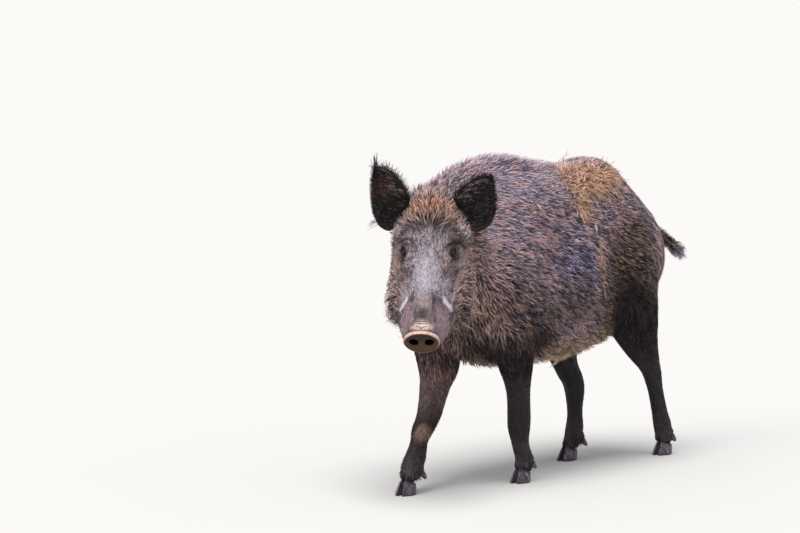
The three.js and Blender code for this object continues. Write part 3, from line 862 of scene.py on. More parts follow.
def disc_surface(angle, t):
    """The pad of the snout: a rounded plate with a raised rim and two slanting nostrils pressed into it."""
    place = t * 8
    depth = np.interp(place, range(9), [0, 0, 0.12, 0.5, 0.88, 1, 0.93, 0.82, 0.84]) * PAD_THICKNESS
    size = np.interp(place, range(9), [0, 0.93, 1, 1.03, 1.03, 0.985, 0.92, 0.46, 0])
    c, s = (signed_power(f(angle), 0.88) for f in (np.cos, np.sin))
    x, y = PAD_HALF_WIDTH * size * c * (1 + 0.2 * np.minimum(s, 0)), PAD_HALF_HEIGHT * size * s
    front = smooth(4.5, 5.5, place)
    for side in (-1, 1):
        dx, dy = x - side * 17.5, y - 1
        turned = dx * 0.95 + dy * 0.3 * side, dy * 0.95 - dx * 0.3 * side
        hole = np.hypot(turned[0] / 10.6, turned[1] / 8.8)
        depth = depth - front * (8.2 * smooth(1.15, 0.55, hole) - 0.9 * bell((hole - 1.45) / 0.3))
    depth = depth - front * 0.9 * bell(x / 4.5) * smooth(20, 4, np.abs(y))
    middle, (forward, left, up) = disc_frame()
    return middle + left * x[:, None] + up * y[:, None] + forward * depth[:, None]


def hoof_surface(foot, side):
    """A hoof: slanting D-shaped slices, flat to its neighbour, pointed in front, up to a sloping coronet."""
    x, y, yaw, _ = foot
    forward, left, _ = facing(float(yaw), 0.0)
    slope = math.tan(math.radians(CORONET_SLOPE))

    def surface(angle, t):
        level = np.interp(t, [0, 0.14, 0.22, 0.9, 1], [0, 0, 0.07, 1, 1.04])
        size = np.interp(t, [0, 0.14, 0.22, 0.55, 0.9, 0.97, 1], [0, 0.95, 1, 0.93, 0.8, 0.6, 0])
        c, s = np.cos(angle), np.sin(angle)
        outside = np.where(c > 0, HOOF_WIDTH - 2, 2)
        taper = np.where(s > 0, 1 - 0.84 * s**2, 1 - 0.25 * s**2)
        spread = 4.5 * smooth(0.1, 1, s) * (1 - 0.6 * level)
        size = size * (1 - 0.26 * level * smooth(0, 0.8, s))
        lateral = side * (2.35 + spread + outside * signed_power(c, 0.8) * taper * size)
        reach = HOOF_LENGTH / 2 * s * size - HOOF_LEAN * level
        height = level * (HOOF_HEIGHT + slope * reach * 0.96 - 6 * smooth(0.1, 1, c))
        level_place = np.array([x, y, 0]) + left * lateral[:, None] + forward * reach[:, None]
        return level_place + height[:, None] * [0, 0, 1]

    return surface


def dewclaw_surface(foot, side):
    """A dewclaw: a blunt horn that points down and back."""
    x, y, yaw, behind = foot
    forward, left, _ = facing(float(yaw), 0.0)
    down = unit(-forward * 0.68 + left * side * 0.2 + np.array([0, 0, -0.73]))
    across = unit(np.cross(down, forward))
    other = np.cross(down, across)
    middle = np.array([x, y, 38]) + left * side * 17 - forward * behind

    def surface(angle, t):
        reach = (t - 0.55) * 26
        radius = np.interp(t, [0, 0.04, 0.3, 0.7, 0.9, 0.97, 1], [0, 6.2, 7.4, 5.6, 3.9, 2.4, 0])
        ring = across * np.cos(angle)[:, None] + other * np.sin(angle)[:, None]
        return middle + down * reach[:, None] + ring * radius[:, None]

    return surface


def dewclaw_base(foot, side):
    """The fleshy base above a dewclaw: an egg that leans down and back out of the pastern."""
    x, y, yaw, behind = foot
    forward, left, _ = facing(float(yaw), 0.0)
    middle = np.array([x, y, 52]) + left * side * 11.5 - forward * (behind - 12)

    def surface(angle, t):
        polar = np.pi * t
        ring = left * np.cos(angle)[:, None] + forward * np.sin(angle)[:, None]
        return middle + ring * (12 * np.sin(polar))[:, None] + np.array([0, 0, 16]) * np.cos(polar)[:, None]

    return surface


def eye_surface(side):
    """An eyeball with a slightly bulging cornea that looks out of the head."""
    middle, gaze, front, up = eye_frame(side)

    def surface(angle, t):
        polar = np.pi * t
        radius = EYE_RADIUS - 0.35 + 0.9 * bell(polar / 0.42)
        ring = (front * np.cos(angle)[:, None] + up * np.sin(angle)[:, None]) * np.sin(polar)[:, None]
        return middle + (ring + gaze * np.cos(polar)[:, None]) * radius[:, None]

    return surface


# ---- markings, the same on skin and coat --------------------------------------------------
BARREL = colour(156, 131, 134)
# Name, place and size in the animal's coordinates on either side, colour and strength.
BODY_MARKS = [
    ("pale shoulders and neck", (90, -250, 640), (110, 150, 110), colour(216, 182, 184), 0.9),
    # Pale coat on the side of the withers, brightened past white as painted top light.
    ("pale side of the withers in painted light", (88, -190, 704), (44, 90, 40), colour(290, 252, 254), 0.9),
    # Pale coat, with painted light that lifts the shade of the crease behind the cheek.
    ("painted light on the neck behind the cheek", (130, -312, 545), (45, 42, 95), colour(218, 188, 192), 0.8),
    ("tan behind the jowl", (108, -290, 392), (40, 45, 52), colour(214, 182, 178), 0.85),
    # Pale coat of the back, brightened past white as painted top light.
    ("pale back in painted top light", (30, 20, 745), (120, 260, 98), colour(286, 244, 248), 0.92),
    ("dark streak in the mane", (54, -140, 752), (34, 100, 34), colour(90, 80, 98), 0.92),
    ("blue-grey flank", (165, -4, 520), (60, 95, 95), colour(108, 104, 128), 0.8),
    # Painted shade on the lower flank.
    ("painted shade on the lower flank", (170, -40, 415), (70, 130, 66), colour(96, 86, 94), 0.88),
    # Painted shade on the lower shoulder.
    ("painted shade on the lower shoulder", (160, -185, 390), (60, 60, 80), colour(84, 74, 82), 0.85),
    ("tan band at the flank", (160, 88, 530), (60, 13, 110), colour(186, 150, 134), 0.75),
    ("straw on the hip", (80, 120, 710), (75, 130, 55), colour(240, 200, 184), 0.9),
    ("hip side", (150, 225, 635), (50, 90, 50), colour(196, 164, 154), 0.6),
    ("dark neck side", (150, -225, 520), (60, 50, 60), colour(120, 102, 104), 0.5),
    # Painted shade in the fold of the flank.
    ("painted shade in the fold of the flank", (155, 130, 466), (50, 60, 42), colour(100, 88, 92), 0.55),
    ("brown haunch", (150, 240, 520), (110, 125, 90), colour(93, 78, 77), 0.9),
    # Dark hair of the thigh, darkened further as painted shade.
    ("dark thigh in painted shade", (130, 228, 385), (110, 145, 120), colour(14, 10, 11), 0.98),
    ("dark buttocks", (60, 450, 480), (130, 60, 120), colour(92, 74, 70), 0.8),
    ("tan belly", (90, 60, 300), (120, 170, 50), colour(162, 134, 112), 0.9),
    # Dark hair of the chest, darkened further as painted shade under the head.
    ("dark chest in painted shade", (60, -250, 345), (160, 130, 80), colour(68, 52, 46), 0.92),
    # Painted shade in the armpit.
    ("painted shade in the armpit", (125, -135, 322), (95, 66, 66), colour(24, 18, 18), 0.96),
]
# The same in the head: along the nose, to either side, above its line.
HEAD_MARKS = [
    ("pale side behind the cheek", (62, 136, -158), (75, 44, 75), colour(206, 178, 182), 0.85),
    ("grey cheeks", (160, 95, -100), (90, 60, 70), colour(170, 148, 142), 0.9),
    ("silver forehead", (150, 0, 0), (75, 60, 40), colour(138, 127, 136), 0.9),
    ("silver bridge", (214, -3, -5), (58, 34, 44), colour(250, 238, 252), 0.95),
    ("pale sides of the bridge", (236, 44, -38), (26, 22, 30), colour(206, 190, 206), 0.7),
    ("tan bridge end", (288, 0, -10), (24, 20, 26), colour(168, 148, 146), 0.9),
    ("brown tuft on the nose", (322, 0, -8), (17, 15, 24), colour(30, 18, 15), 0.96),
    ("pink muzzle", (325, 40, -45), (44, 44, 40), colour(146, 122, 130), 0.88),
    ("pale nose plate", (360, 0, -4), (17, 24, 20), colour(232, 202, 194), 1.0),
    ("ginger crown", (26, 0, 0), (40, 92, 54), colour(146, 116, 108), 0.95),
    ("pale fringe", (-30, 0, 5), (24, 70, 60), colour(250, 226, 228), 0.95),
    ("black roots of the crown", (72, 0, 5), (30, 66, 30), colour(60, 50, 54), 0.88),
    ("pale hair at the ears", (58, 72, -46), (26, 20, 28), colour(166, 158, 170), 0.85),
    ("eye lids", (140, 62, -26), (24, 20, 24), colour(70, 58, 66), 0.88),
    ("shadow below the eye", (186, 66, -46), (28, 15, 24), colour(96, 82, 90), 0.65),
    ("tan stripe before the eye", (158, 44, -20), (26, 8, 20), colour(196, 166, 166), 0.7),
    ("dark muzzle side", (286, 66, -80), (30, 24, 26), colour(76, 68, 84), 0.8),
    # Painted shade in the hollow behind the muzzle.
    ("painted shade in the hollow behind the muzzle", (226, 85, -133), (26, 22, 22), colour(72, 66, 80), 0.7),
    ("tan jowl", (175, 106, -205), (80, 60, 72), colour(190, 167, 158), 0.9),
    ("dark crescent of the jowl", (152, 82, -274), (18, 34, 18), colour(52, 48, 60), 0.8),
    ("dark under the jowl", (262, 84, -130), (34, 40, 30), colour(70, 62, 66), 0.75),
    ("dark chin", (300, 0, -110), (60, 50, 30), colour(86, 70, 66), 0.85),
    ("brown throat", (120, 0, -230), (140, 110, 60), colour(80, 65, 62), 0.85),
    ("tan hair behind the jowl", (155, 138, -292), (30, 30, 38), colour(204, 178, 172), 0.75),
    ("shadow over the leg", (176, 83, -364), (40, 38, 46), colour(24, 18, 18), 0.9),
]
LEG_MARKS = [
    ("scuffed knee", (-46, -352, 133), (16, 24, 24), colour(170, 138, 122), 0.7),
    # Paler brown hair on the right forearm, with a painted highlight over it.
    ("paler forearm with a painted highlight", (-64, -284, 240), (60, 70, 80), colour(126, 104, 102), 0.75),
]
HEAD_GREY = colour(104, 90, 96)
# The body is a little cooler than its marks.
BODY_CAST = np.array([0.92, 1.0, 1.11])
LEG_DARK = colour(38, 31, 34)
FOOT_DARK = colour(66, 56, 64)
TAIL_DARK, TAIL_TIP = colour(72, 64, 66), colour(176, 166, 182)
WHITE_STROKE = np.array([(263.0, 45.0, -42.0), (268.0, 57.0, -63.0)])
WHITE_SKIN = 0.92


def on_stroke(p):
    """1 on the thin white stroke at either side of the muzzle and 0 away from it."""
    start, line = WHITE_STROKE[0], WHITE_STROKE[1] - WHITE_STROKE[0]
    q = either_cheek(p) - start
    share = np.clip(q @ line / (line @ line), 0, 1)
    return smooth(12.5, 4, np.linalg.norm(q - share[:, None] * line, axis=1))


def painted(base, places, marks):
    """Base colours with a list of marks laid over them, each a soft spot on either side of the middle."""
    result = base
    for _, middle, size, tint, strength in marks:
        share = strength * bell(np.linalg.norm((places - np.array(middle)) / np.array(size), axis=1) ** 2)
        result = result + (tint - result) * share[:, None]
    return result


def markings(p):
    """The colour of the coat's tips at points of the body."""
    body = painted(BARREL, either_side(p), BODY_MARKS) * BODY_CAST
    head = painted(HEAD_GREY, either_cheek(p), HEAD_MARKS)
    mixed = body + (head - body) * head_share(p)[:, None]
    legs = LEG_DARK + (FOOT_DARK - LEG_DARK) * smooth(130, 60, p[:, 2])[:, None]
    legs = painted(legs, p, LEG_MARKS)
    mixed = mixed + (legs - mixed) * leg_share(p)[:, None]
    on_tail, along = tail_share(p)
    tail = TAIL_DARK + (TAIL_TIP - TAIL_DARK) * smooth(0.55, 0.9, along)[:, None]
    mixed = mixed + (tail - mixed) * on_tail[:, None]
    patches = (0.15 * lattice_noise(p, 38, 3) + 0.07 * lattice_noise(p, 14, 5)) * (1 - 0.6 * head_share(p))
    # Painted shade in the folds of the face.
    mixed = mixed * (1 + patches)[:, None] * (1 - 0.85 * np.minimum(folds(p)[1], 1))[:, None]
    return mixed + (WHITE_SKIN - mixed) * on_stroke(p)[:, None]


# ---- the lie of the coat ------------------------------------------------------------------
def lie_of_coat(p, normals):
    """The way the hair lies: back along the trunk and down its sides, up the face, down the legs."""
    either = np.sign(p[:, 0])
    flank = smooth(0.2, 0.8, np.abs(normals[:, 0]))
    rump = smooth(260, 440, p[:, 1])
    chest = smooth(-180, -280, p[:, 1]) * smooth(520, 400, p[:, 2])
    droop = 0.42 * flank + 1.3 * rump * smooth(740, 640, p[:, 2]) + 1.2 * chest + 0.1
    under = smooth(-0.3, -0.8, normals[:, 2])
    droop = droop * (1 - under) + 0.4 * under
    body = np.stack([0.12 * either * (1 - flank), 1 - 0.5 * rump - 0.3 * chest, -droop], -1)
    a, l, u = head_coordinates(p)
    outward = np.sign(l) * smooth(4, 60, np.abs(l))
    low = smooth(-50, -110, u) * smooth(335, 270, a)
    jowl = bell((a - 215) / 75) * bell((u + 160) / 62)
    ears = bell((a - 75) / 40) * smooth(40, 70, np.abs(l)) * smooth(-90, -40, u)
    crown = smooth(120, 60, a) * (1 - low)
    upper = np.stack([-1 + 0.3 * crown, outward * (0.28 + 0.8 * crown + 0.8 * ears), 0.22 * crown], -1) @ HEAD
    lower = np.stack([-0.9 + 0.3 * jowl, outward * (0.25 + 0.9 * jowl), -0.45 - 0.6 * jowl], -1) @ LEVEL
    head = upper * (1 - low)[:, None] + lower * low[:, None]
    for side in SIDES.values():
        away = p - eye_frame(side)[0]
        near = 1.1 * bell(np.linalg.norm(away, axis=1) / 24)
        head = head + unit(away) * near[:, None]
    share = head_share(p)[:, None]
    lie = unit(body) * (1 - share) + unit(head) * share
    legs = np.array([0.0, 0.22, -1.0])
    share = leg_share(p)[:, None]
    lie = unit(lie) * (1 - share) + legs * share
    on_tail, along = tail_share(p)
    ahead = np.stack(stations_at(TAIL, np.minimum(along + 0.02, 1))[:3], -1)
    behind = np.stack(stations_at(TAIL, np.maximum(along - 0.02, 0))[:3], -1)
    share = on_tail[:, None]
    return unit(lie) * (1 - share) + unit(ahead - behind) * share


def hair_sizes(p):
    """Length, width and lift of the tufts over the body, in millimetres."""
    mane = bell(p[:, 0] / 60) * smooth(560, 660, p[:, 2]) * smooth(170, 40, p[:, 1])
    rump = smooth(300, 460, p[:, 1])
    belly = smooth(350, 290, p[:, 2])
    length = 27 + 8 * mane + 18 * belly - 2 * rump
    lift = 7 + 13 * mane + 17 * belly
    a, _, u = head_coordinates(p)
    crown = smooth(120, 50, a) * smooth(-115, -75, u)
    cheek = smooth(290, 235, a) * (1 - smooth(-95, -50, u))
    jowl = bell((a - 210) / 78) * bell((u + 160) / 62)
    throat = smooth(-150, -190, u) * smooth(330, 260, a)
    snout = smooth(240, 330, a)
    head_length = 6.8 - 2 * snout + 17 * crown + 12 * cheek + 34 * jowl + 9 * throat
    head_lift = 2.2 - 1.5 * snout + 13 * crown + 4 * cheek + 26 * jowl + 6 * throat
    near = near_eyes(p, 14)
    head_length = head_length * (1 - 0.5 * near)
    head_lift = head_lift * (1 - 0.7 * near)
    share = head_share(p)
    length = length + (head_length - length) * share
    lift = lift + (head_lift - lift) * share
    share = leg_share(p)
    leg_length = 11 + 12 * smooth(200, 330, p[:, 2]) + 8 * smooth(60, 46, p[:, 2])
    length = length + (leg_length - length) * share
    lift = lift + (0.9 + 3 * smooth(250, 330, p[:, 2]) - lift) * share
    on_tail, along = tail_share(p)
    length = length + (15 + 10 * along - length) * on_tail
    lift = lift + (5 + 5 * along - lift) * on_tail
    width = np.interp(length, [5, 10, 20, 40, 70], [1.0, 1.35, 1.85, 2.2, 2.4])
    width = width * (1 - 0.3 * crown * head_share(p))
    return length, width, lift


class Surroundings:
    """Finds the skin near any point: cells of space, each with the mean place and direction of its skin."""

    # Millimetres within which skin is found, and what skin that faces another way counts farther off.
    reach, turned_away = 25, 30
    # More cells than the body reaches to either side of the origin.
    cells_beyond = 4096

    def __init__(self, points, normals, cell):
        self.cell = cell
        keys, index = np.unique(self.key(np.floor(points / cell).astype(np.int64)), return_inverse=True)
        count = np.bincount(index)
        self.keys = keys
        self.places = np.stack([np.bincount(index, points[:, k]) / count for k in range(3)], -1)
        self.normals = unit(np.stack([np.bincount(index, normals[:, k]) for k in range(3)], -1))

    def key(self, cells):
        """One number for each cell, from its three whole coordinates."""
        x, y, z = (cells + self.cells_beyond).T
        return x << 40 | y << 20 | z

    def lay(self, points, outward, height):
        """Points moved along the nearest skin's normal until they are this high over it."""
        home = np.floor(points / self.cell).astype(np.int64)
        best = np.full(len(points), 1e9)
        place, normal = points.copy(), outward.copy()
        for step in np.ndindex(3, 3, 3):
            key = self.key(home + np.array(step) - 1)
            at = np.minimum(np.searchsorted(self.keys, key), len(self.keys) - 1)
            far = np.linalg.norm(self.places[at] - points, axis=1)
            far = far + self.turned_away * (dot(self.normals[at], outward)[:, 0] < 0.3)
            better = (self.keys[at] == key) & (far < best)
            best = np.where(better, far, best)
            place[better], normal[better] = self.places[at[better]], self.normals[at[better]]
        found = (best < self.reach)[:, None]
        over = dot(points - place, normal)
        return np.where(found, points + normal * (height[:, None] - over), points + outward * height[:, None])


def scatter(points, triangles, density):
    """Places spread over a surface, each a face and the weights of its corners.

    Each face gets its area times its density of them, in places for each square millimetre.
    """
    corners = points[triangles]
    doubled = np.linalg.norm(np.cross(corners[:, 1] - corners[:, 0], corners[:, 2] - corners[:, 0]), axis=1)
    total = np.cumsum(doubled / 2 * density)
    count = int(total[-1])
    face = np.minimum(np.searchsorted(total, np.arange(count) + rng.random(count)), len(triangles) - 1)
    a, b = rng.random((2, count))
    over = a + b > 1
    a, b = np.where(over, 1 - a, a), np.where(over, 1 - b, b)
    return triangles[face], np.stack([1 - a - b, a, b], 1)


def at_places(values, places):
    """The values of a field of the surface at scattered places."""
    corners, weights = places
    return np.sum(values[corners] * weights[..., None], axis=1)


# Corners of a tuft's section across and up, in its widths, and the side of its patch in the map.
TUFT_SECTION = [(-0.5, 0.0), (0.5, 0.0), (0.0, 0.42)]
TUFT_PATCH = 0.003
# A root's share of the tuft's width, and how many millimetres it lies under the skin.
ROOT_WIDTH, ROOT_DEPTH = 0.8, 0.8


def tuft_mesh(name, stations, side, up, width, fields, map_place):
    """Closed tufts as one mesh.

    Each tuft has rings of three points, two below and one on its back, across its stations, and
    ends in a point: ring point k of station j is the station plus side and up times its width.
    """
    count, rings = len(width), len(stations) - 1
    points = []
    for j in range(rings):
        size = (width * (ROOT_WIDTH if j == 0 else 1.0))[:, None]
        points += [stations[j] + size * (side * s + up * u) for s, u in TUFT_SECTION]
    points.append(stations[-1])
    points = np.stack(points, 1)
    per = points.shape[1]
    cap = [0, 1, 2]
    last = 3 * (rings - 1)
    around = [(k, (k + 1) % 3) for k in range(3)]
    quads = [
        [first + k, first + 3 + k, first + 3 + beside, first + beside]
        for first in range(0, last, 3)
        for k, beside in around
    ]
    tips = [[last + k, per - 1, last + beside] for k, beside in around]
    faces = [cap, *quads, *tips]
    pattern = np.concatenate(faces)
    sizes = np.array([len(f) for f in faces])
    loops = (np.arange(count)[:, None] * per + pattern).ravel()
    totals = np.tile(sizes, count)
    starts = np.concatenate([[0], np.cumsum(totals)[:-1]])
    mesh = bpy.data.meshes.new(name)
    mesh.vertices.add(count * per)
    mesh.vertices.foreach_set("co", to_row(points.reshape(-1, 3)).astype(np.float32).ravel())
    mesh.loops.add(len(loops))
    mesh.loops.foreach_set("vertex_index", loops.astype(np.int32))
    mesh.polygons.add(len(totals))
    mesh.polygons.foreach_set("loop_start", starts.astype(np.int32))
    mesh.update(calc_edges=True)
    along = np.append(np.repeat(np.arange(rings) / rings, 3), 1.0)
    set_field(mesh, "along", np.tile(along, count))
    for field, values in fields.items():
        set_field(mesh, field, np.repeat(values, per, axis=0))
    across = np.append(np.tile([0.0, 1.0, 0.5], rings), 0.5)
    patch = np.stack([across, along], -1) * TUFT_PATCH
    uv = (map_place[:, None, :] * (1 - TUFT_PATCH) + patch[None]).reshape(-1, 2)
    layer = mesh.uv_layers.new(name="OFBake")
    layer.uv.foreach_set("vector", uv[loops].astype(np.float32).ravel())
    return mesh


def set_field(mesh, name, values):
    """A number or a colour for each point of a mesh, for its material to read."""
    values = np.asarray(values)
    if values.ndim == 1:
        mesh.attributes.new(name, "FLOAT", "POINT").data.foreach_set("value", values.astype(np.float32))
        return
    rgba = np.concatenate([values, np.ones((len(values), 1))], 1).astype(np.float32)
    mesh.color_attributes.new(name, "FLOAT_COLOR", "POINT").data.foreach_set("color", rgba.ravel())


def comb(roots, normals, lie, sizes, ground, steps, ruffle, curl):
    """Stations, sides and ups of tufts that rise from their roots and lie down along the skin.

    A tuft of length L rises to a height H, by H s (2 - s) at the share s of its run along the
    skin, and bends sideways by its own curl. Where the lie points out of the skin it stands up.
    Neighbours turn together in locks of two sizes, and each a little by its own ruffle.
    """
    length, _, lift = sizes
    count = len(roots)
    outwards = dot(lie, normals)
    lie = lie - outwards * normals
    flat = np.linalg.norm(lie, axis=1, keepdims=True)
    locks = lattice_vectors(roots, 26, 11) * 0.12 + lattice_vectors(roots, 9, 17) * 0.11
    lie = lie + (locks + rng.normal(0, 1, (count, 3)) * np.reshape(ruffle, (-1, 1))) * np.clip(flat, 0.35, 1)
    lie = unit(lie - dot(lie, normals) * normals)
    steep = (smooth(0.75, 0.25, flat) * (outwards > 0))[:, 0]
    length = length * rng.uniform(0.65, 1.2, count)
    height = np.maximum(lift * rng.uniform(0.35, 1.15, count), 0.6 * length * steep)
    height = np.minimum(height, length * 0.85)
    run = np.sqrt(length**2 - height**2)[:, None]
    side = np.cross(lie, normals)
    bend = side * (rng.normal(0, 1, count) * curl * length)[:, None]
    stations = [roots - normals * ROOT_DEPTH]
    for share in np.arange(1, steps + 1) / steps:
        level = height * share * (2 - share)
        place = roots + lie * run * share + bend * share**2
        stations.append(ground.lay(place, normals, level) if ground else place + normals * level[:, None])
    return stations, side, normals


def tones(colours, p, lie):
    """Brightness of each tuft: streaks of dark and pale hair along the lie, and a tone of its own.

    A streak is noise summed over five places in a row along the lie. Tufts differ most in the
    brown parts of the body, where pale bristles lie over black ones.
    """
    brown = smooth(0.28, 0.06, colours.mean(axis=1)) * (1 - head_share(p)) * (1 - leg_share(p))
    step = lie * (6 - 4 * head_share(p))[:, None]
    streaks = np.zeros(len(p))
    for k in range(-2, 3):
        streaks += 0.62 * lattice_noise(p + k * step, 4.6, 31) + 1.0 * lattice_noise(p + k * step, 2.6, 37)
    along_nose = head_coordinates(p)[0]
    snout = head_share(p) * smooth(270, 310, along_nose)
    crown = head_share(p) * smooth(120, 90, along_nose)
    contrast = 0.74 + 0.24 * head_share(p) + 0.2 * crown + 0.3 * brown + 0.4 * snout
    own = rng.normal(0, 0.95, len(p)) * (1 + 0.3 * head_share(p))
    streaks = streaks * (1 - 0.5 * head_share(p))
    return np.clip(1.04 * np.exp(contrast * (streaks + own)), 0.08, 3.6)


# Pale tan bristles and their share of the brown parts, and the white hair of the muzzle's stroke.
FROST, FROSTED = colour(198, 162, 128), 0.17
WHITE_HAIR = np.array([0.9, 0.86, 0.94])
# How far pale and dark hair part in hue, and the brightest that hair outside the stroke gets.
TONE_SPLIT, BRIGHTEST = 0.16, 0.74


def tinted(colours, p, lie, split):
    """Colours of tufts: those of the markings in each one's tone, a little warmer or cooler.

    Pale hairs are tan and dark ones slate by the power split of their tone. Some bristles of the
    brown parts are pale tan, and the rest darker for them.
    """
    warm = rng.normal(0, 0.05, len(p))
    cast = np.stack([1 + warm, np.ones(len(p)), 1 - warm], -1)
    tone = tones(colours, p, lie)[:, None]
    above = smooth(-110, -50, head_coordinates(p)[2])
    split = split * (1 - 0.7 * head_share(p) * above)[:, None]
    toned = colours * cast * tone * np.concatenate(
        [(1 - 0.3 * split) * tone**split, np.ones_like(tone), (1 + 0.38 * split) * tone**-split], 1
    )
    mean = colours.mean(axis=1)
    frost = smooth(0.26, 0.1, mean) * smooth(0.008, 0.05, mean)
    frost = frost * (1 - leg_share(p)) * (1 - 0.8 * head_share(p) * above)
    toned = toned * (1 - 0.3 * frost)[:, None]
    toned = toned + (FROST - toned) * (0.75 * frost * (rng.random(len(p)) < FROSTED))[:, None]
    # Painted shade in the folds of the face.
    toned = toned * (1 - 0.93 * np.minimum(folds(p)[1], 1))[:, None]
    toned = toned * (BRIGHTEST / np.maximum(toned.max(axis=1, keepdims=True), BRIGHTEST))
    white = on_stroke(p) * rng.uniform(0.6, 1, len(p))
    return np.clip(toned + (WHITE_HAIR - toned) * white[:, None], 0.004, 0.95)


def coat_piece(name, tufts, ground, steps, unwrap, ruffle=0.2, curl=0.1, colours=None):
    """One named piece of the coat, from the roots, normals, lie and sizes of its tufts.

    A size or colour given once holds for every tuft. Without colours it has the markings' own.
    """
    roots, normals, lie, sizes = tufts
    count = len(roots)
    sizes = [np.broadcast_to(np.asarray(size, float), count) for size in sizes]
    stations, side, up = comb(roots, normals, lie, sizes, ground, steps, ruffle, curl)
    middles = roots + unit(lie) * sizes[0][:, None] * 0.4
    if colours is None:
        colours, split = markings(middles), TONE_SPLIT
    else:
        colours, split = np.broadcast_to(colours, (count, 3)), 0.0
    fields = {"marking": tinted(colours, middles, unit(lie), split)}
    width = sizes[1] * rng.uniform(0.7, 1.3, count)
    mesh = tuft_mesh(name, stations, side, up, width, fields, unwrap(roots))
    made = new_object(name, mesh)
    mesh.materials.append(coat_material)
    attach(made, "root")


def fitted(values):
    """Numbers spread over 0 to 1 from the least to the greatest."""
    return (values - values.min()) / max(values.max() - values.min(), 1e-6)


def unwrap_trunk(p):
    """The trunk's own unwrap: the turn round its middle line, and the way along it."""
    table = np.array(TRUNK)[::-1]
    x, z = (np.interp(p[:, 1], table[:, 1], table[:, k]) for k in (0, 2))
    return np.stack([fitted(np.arctan2(p[:, 0] - x, z - p[:, 2])), fitted(p[:, 1])], -1)


def unwrap_head(p):
    """The head's own unwrap: the turn round its middle line, and the way along the nose."""
    a, l, u = head_coordinates(p)
    table = np.array(SKULL)
    middle = np.interp(a, table[:-1, 0], table[:-1, 3])
    return np.stack([fitted(np.arctan2(l, middle - u)), fitted(a)], -1)


def unwrap_legs(p):
    """Each leg's own unwrap beside the next: the turn round its middle line, and the height."""
    which, _, middle, _ = leg_nearness(p)
    turn = np.arctan2(p[:, 1] - middle[:, 1], p[:, 0] - middle[:, 0]) / (2 * np.pi) + 0.5
    order = np.searchsorted(np.unique(which), which)
    return np.stack([(order + turn * 0.98) / (order.max() + 1), fitted(p[:, 2])], -1)


def unwrap_tail(p):
    """The tail's own unwrap: the turn round its middle line, and the way along it."""
    _, along = tail_distance(p)
    middle = np.stack(stations_at(TAIL, along)[:3], -1)
    return np.stack([fitted(np.arctan2(p[:, 2] - middle[:, 2], p[:, 0] - middle[:, 0])), along], -1)


# ---- materials ----------------------------------------------------------------------------
def material(name, roughness, specular=0.5):
    """A new material, its nodes, its shader and a way to link them."""
    made = bpy.data.materials.new(name)
    made.use_nodes = True
    nodes = made.node_tree.nodes
    shader = nodes["Principled BSDF"]
    shader.inputs["Roughness"].default_value = roughness
    shader.inputs["Specular IOR Level"].default_value = specular
    return made, nodes, shader, made.node_tree.links.new


def noise_node(nodes, link, vector, scale, detail=3.0, roughness=0.6):
    """Noise over the given coordinates."""
    node = nodes.new("ShaderNodeTexNoise")
    node.inputs["Scale"].default_value = scale
    node.inputs["Detail"].default_value = detail
    node.inputs["Roughness"].default_value = roughness
    link(vector, node.inputs["Vector"])
    return node.outputs["Fac"]


def ramp_node(nodes, link, factor, stops):
    """A colour ramp of (place, colour) stops over a factor."""
    node = nodes.new("ShaderNodeValToRGB")
    elements = node.color_ramp.elements
    while len(elements) < len(stops):
        elements.new(0.5)
    for element, (place, tint) in zip(elements, stops):
        element.position = place
        element.color = (*tint, 1)
    link(factor, node.inputs["Fac"])
    return node.outputs["Color"]


def blend_node(nodes, link, mode, factor, first, second):
    """Two colours mixed; a number or colour given is set, and a socket is linked."""
    node = nodes.new("ShaderNodeMix")
    node.data_type = "RGBA"
    node.blend_type = mode
    for socket, value in ((node.inputs[0], factor), (node.inputs[6], first), (node.inputs[7], second)):
        if isinstance(value, bpy.types.NodeSocket):
            link(value, socket)
        else:
            socket.default_value = value
    return node.outputs[2]


def attribute_node(nodes, name, output="Fac"):
    """A field of the mesh."""
    node = nodes.new("ShaderNodeAttribute")
    node.attribute_name = name
    return node.outputs[output]


def bump_node(nodes, link, height, strength, distance, shader):
    """Height as small relief on a shader."""
    node = nodes.new("ShaderNodeBump")
    node.inputs["Strength"].default_value = strength
    node.inputs["Distance"].default_value = distance
    link(height, node.inputs["Height"])
    link(node.outputs["Normal"], shader.inputs["Normal"])
    return node


def grey(value):
    """A neutral colour."""
    return (value, value, value)


def make_coat_material():
    """Bristles: dark at the root, the marking's colour towards the tip, with fine relief.

    The dark root is painted shade deep in the coat, and the tips are brightened past the marking as a
    painted highlight.
    """
    made, nodes, shader, link = material("bristle coat", 0.52, 0.2)
    marking = attribute_node(nodes, "marking", "Color")
    # Painted shade towards the root and a painted highlight towards the tip.
    depth = [(0.0, grey(0.2)), (0.35, grey(0.7)), (0.75, grey(1.15)), (1.0, grey(1.6))]
    shade = ramp_node(nodes, link, attribute_node(nodes, "along"), depth)
    link(blend_node(nodes, link, "MULTIPLY", 1.0, marking, shade), shader.inputs["Base Color"])
    fine = noise_node(nodes, link, nodes.new("ShaderNodeTexCoord").outputs["Object"], 900.0, 2.0)
    bump_node(nodes, link, fine, 0.25, 0.0006, shader)
    return made


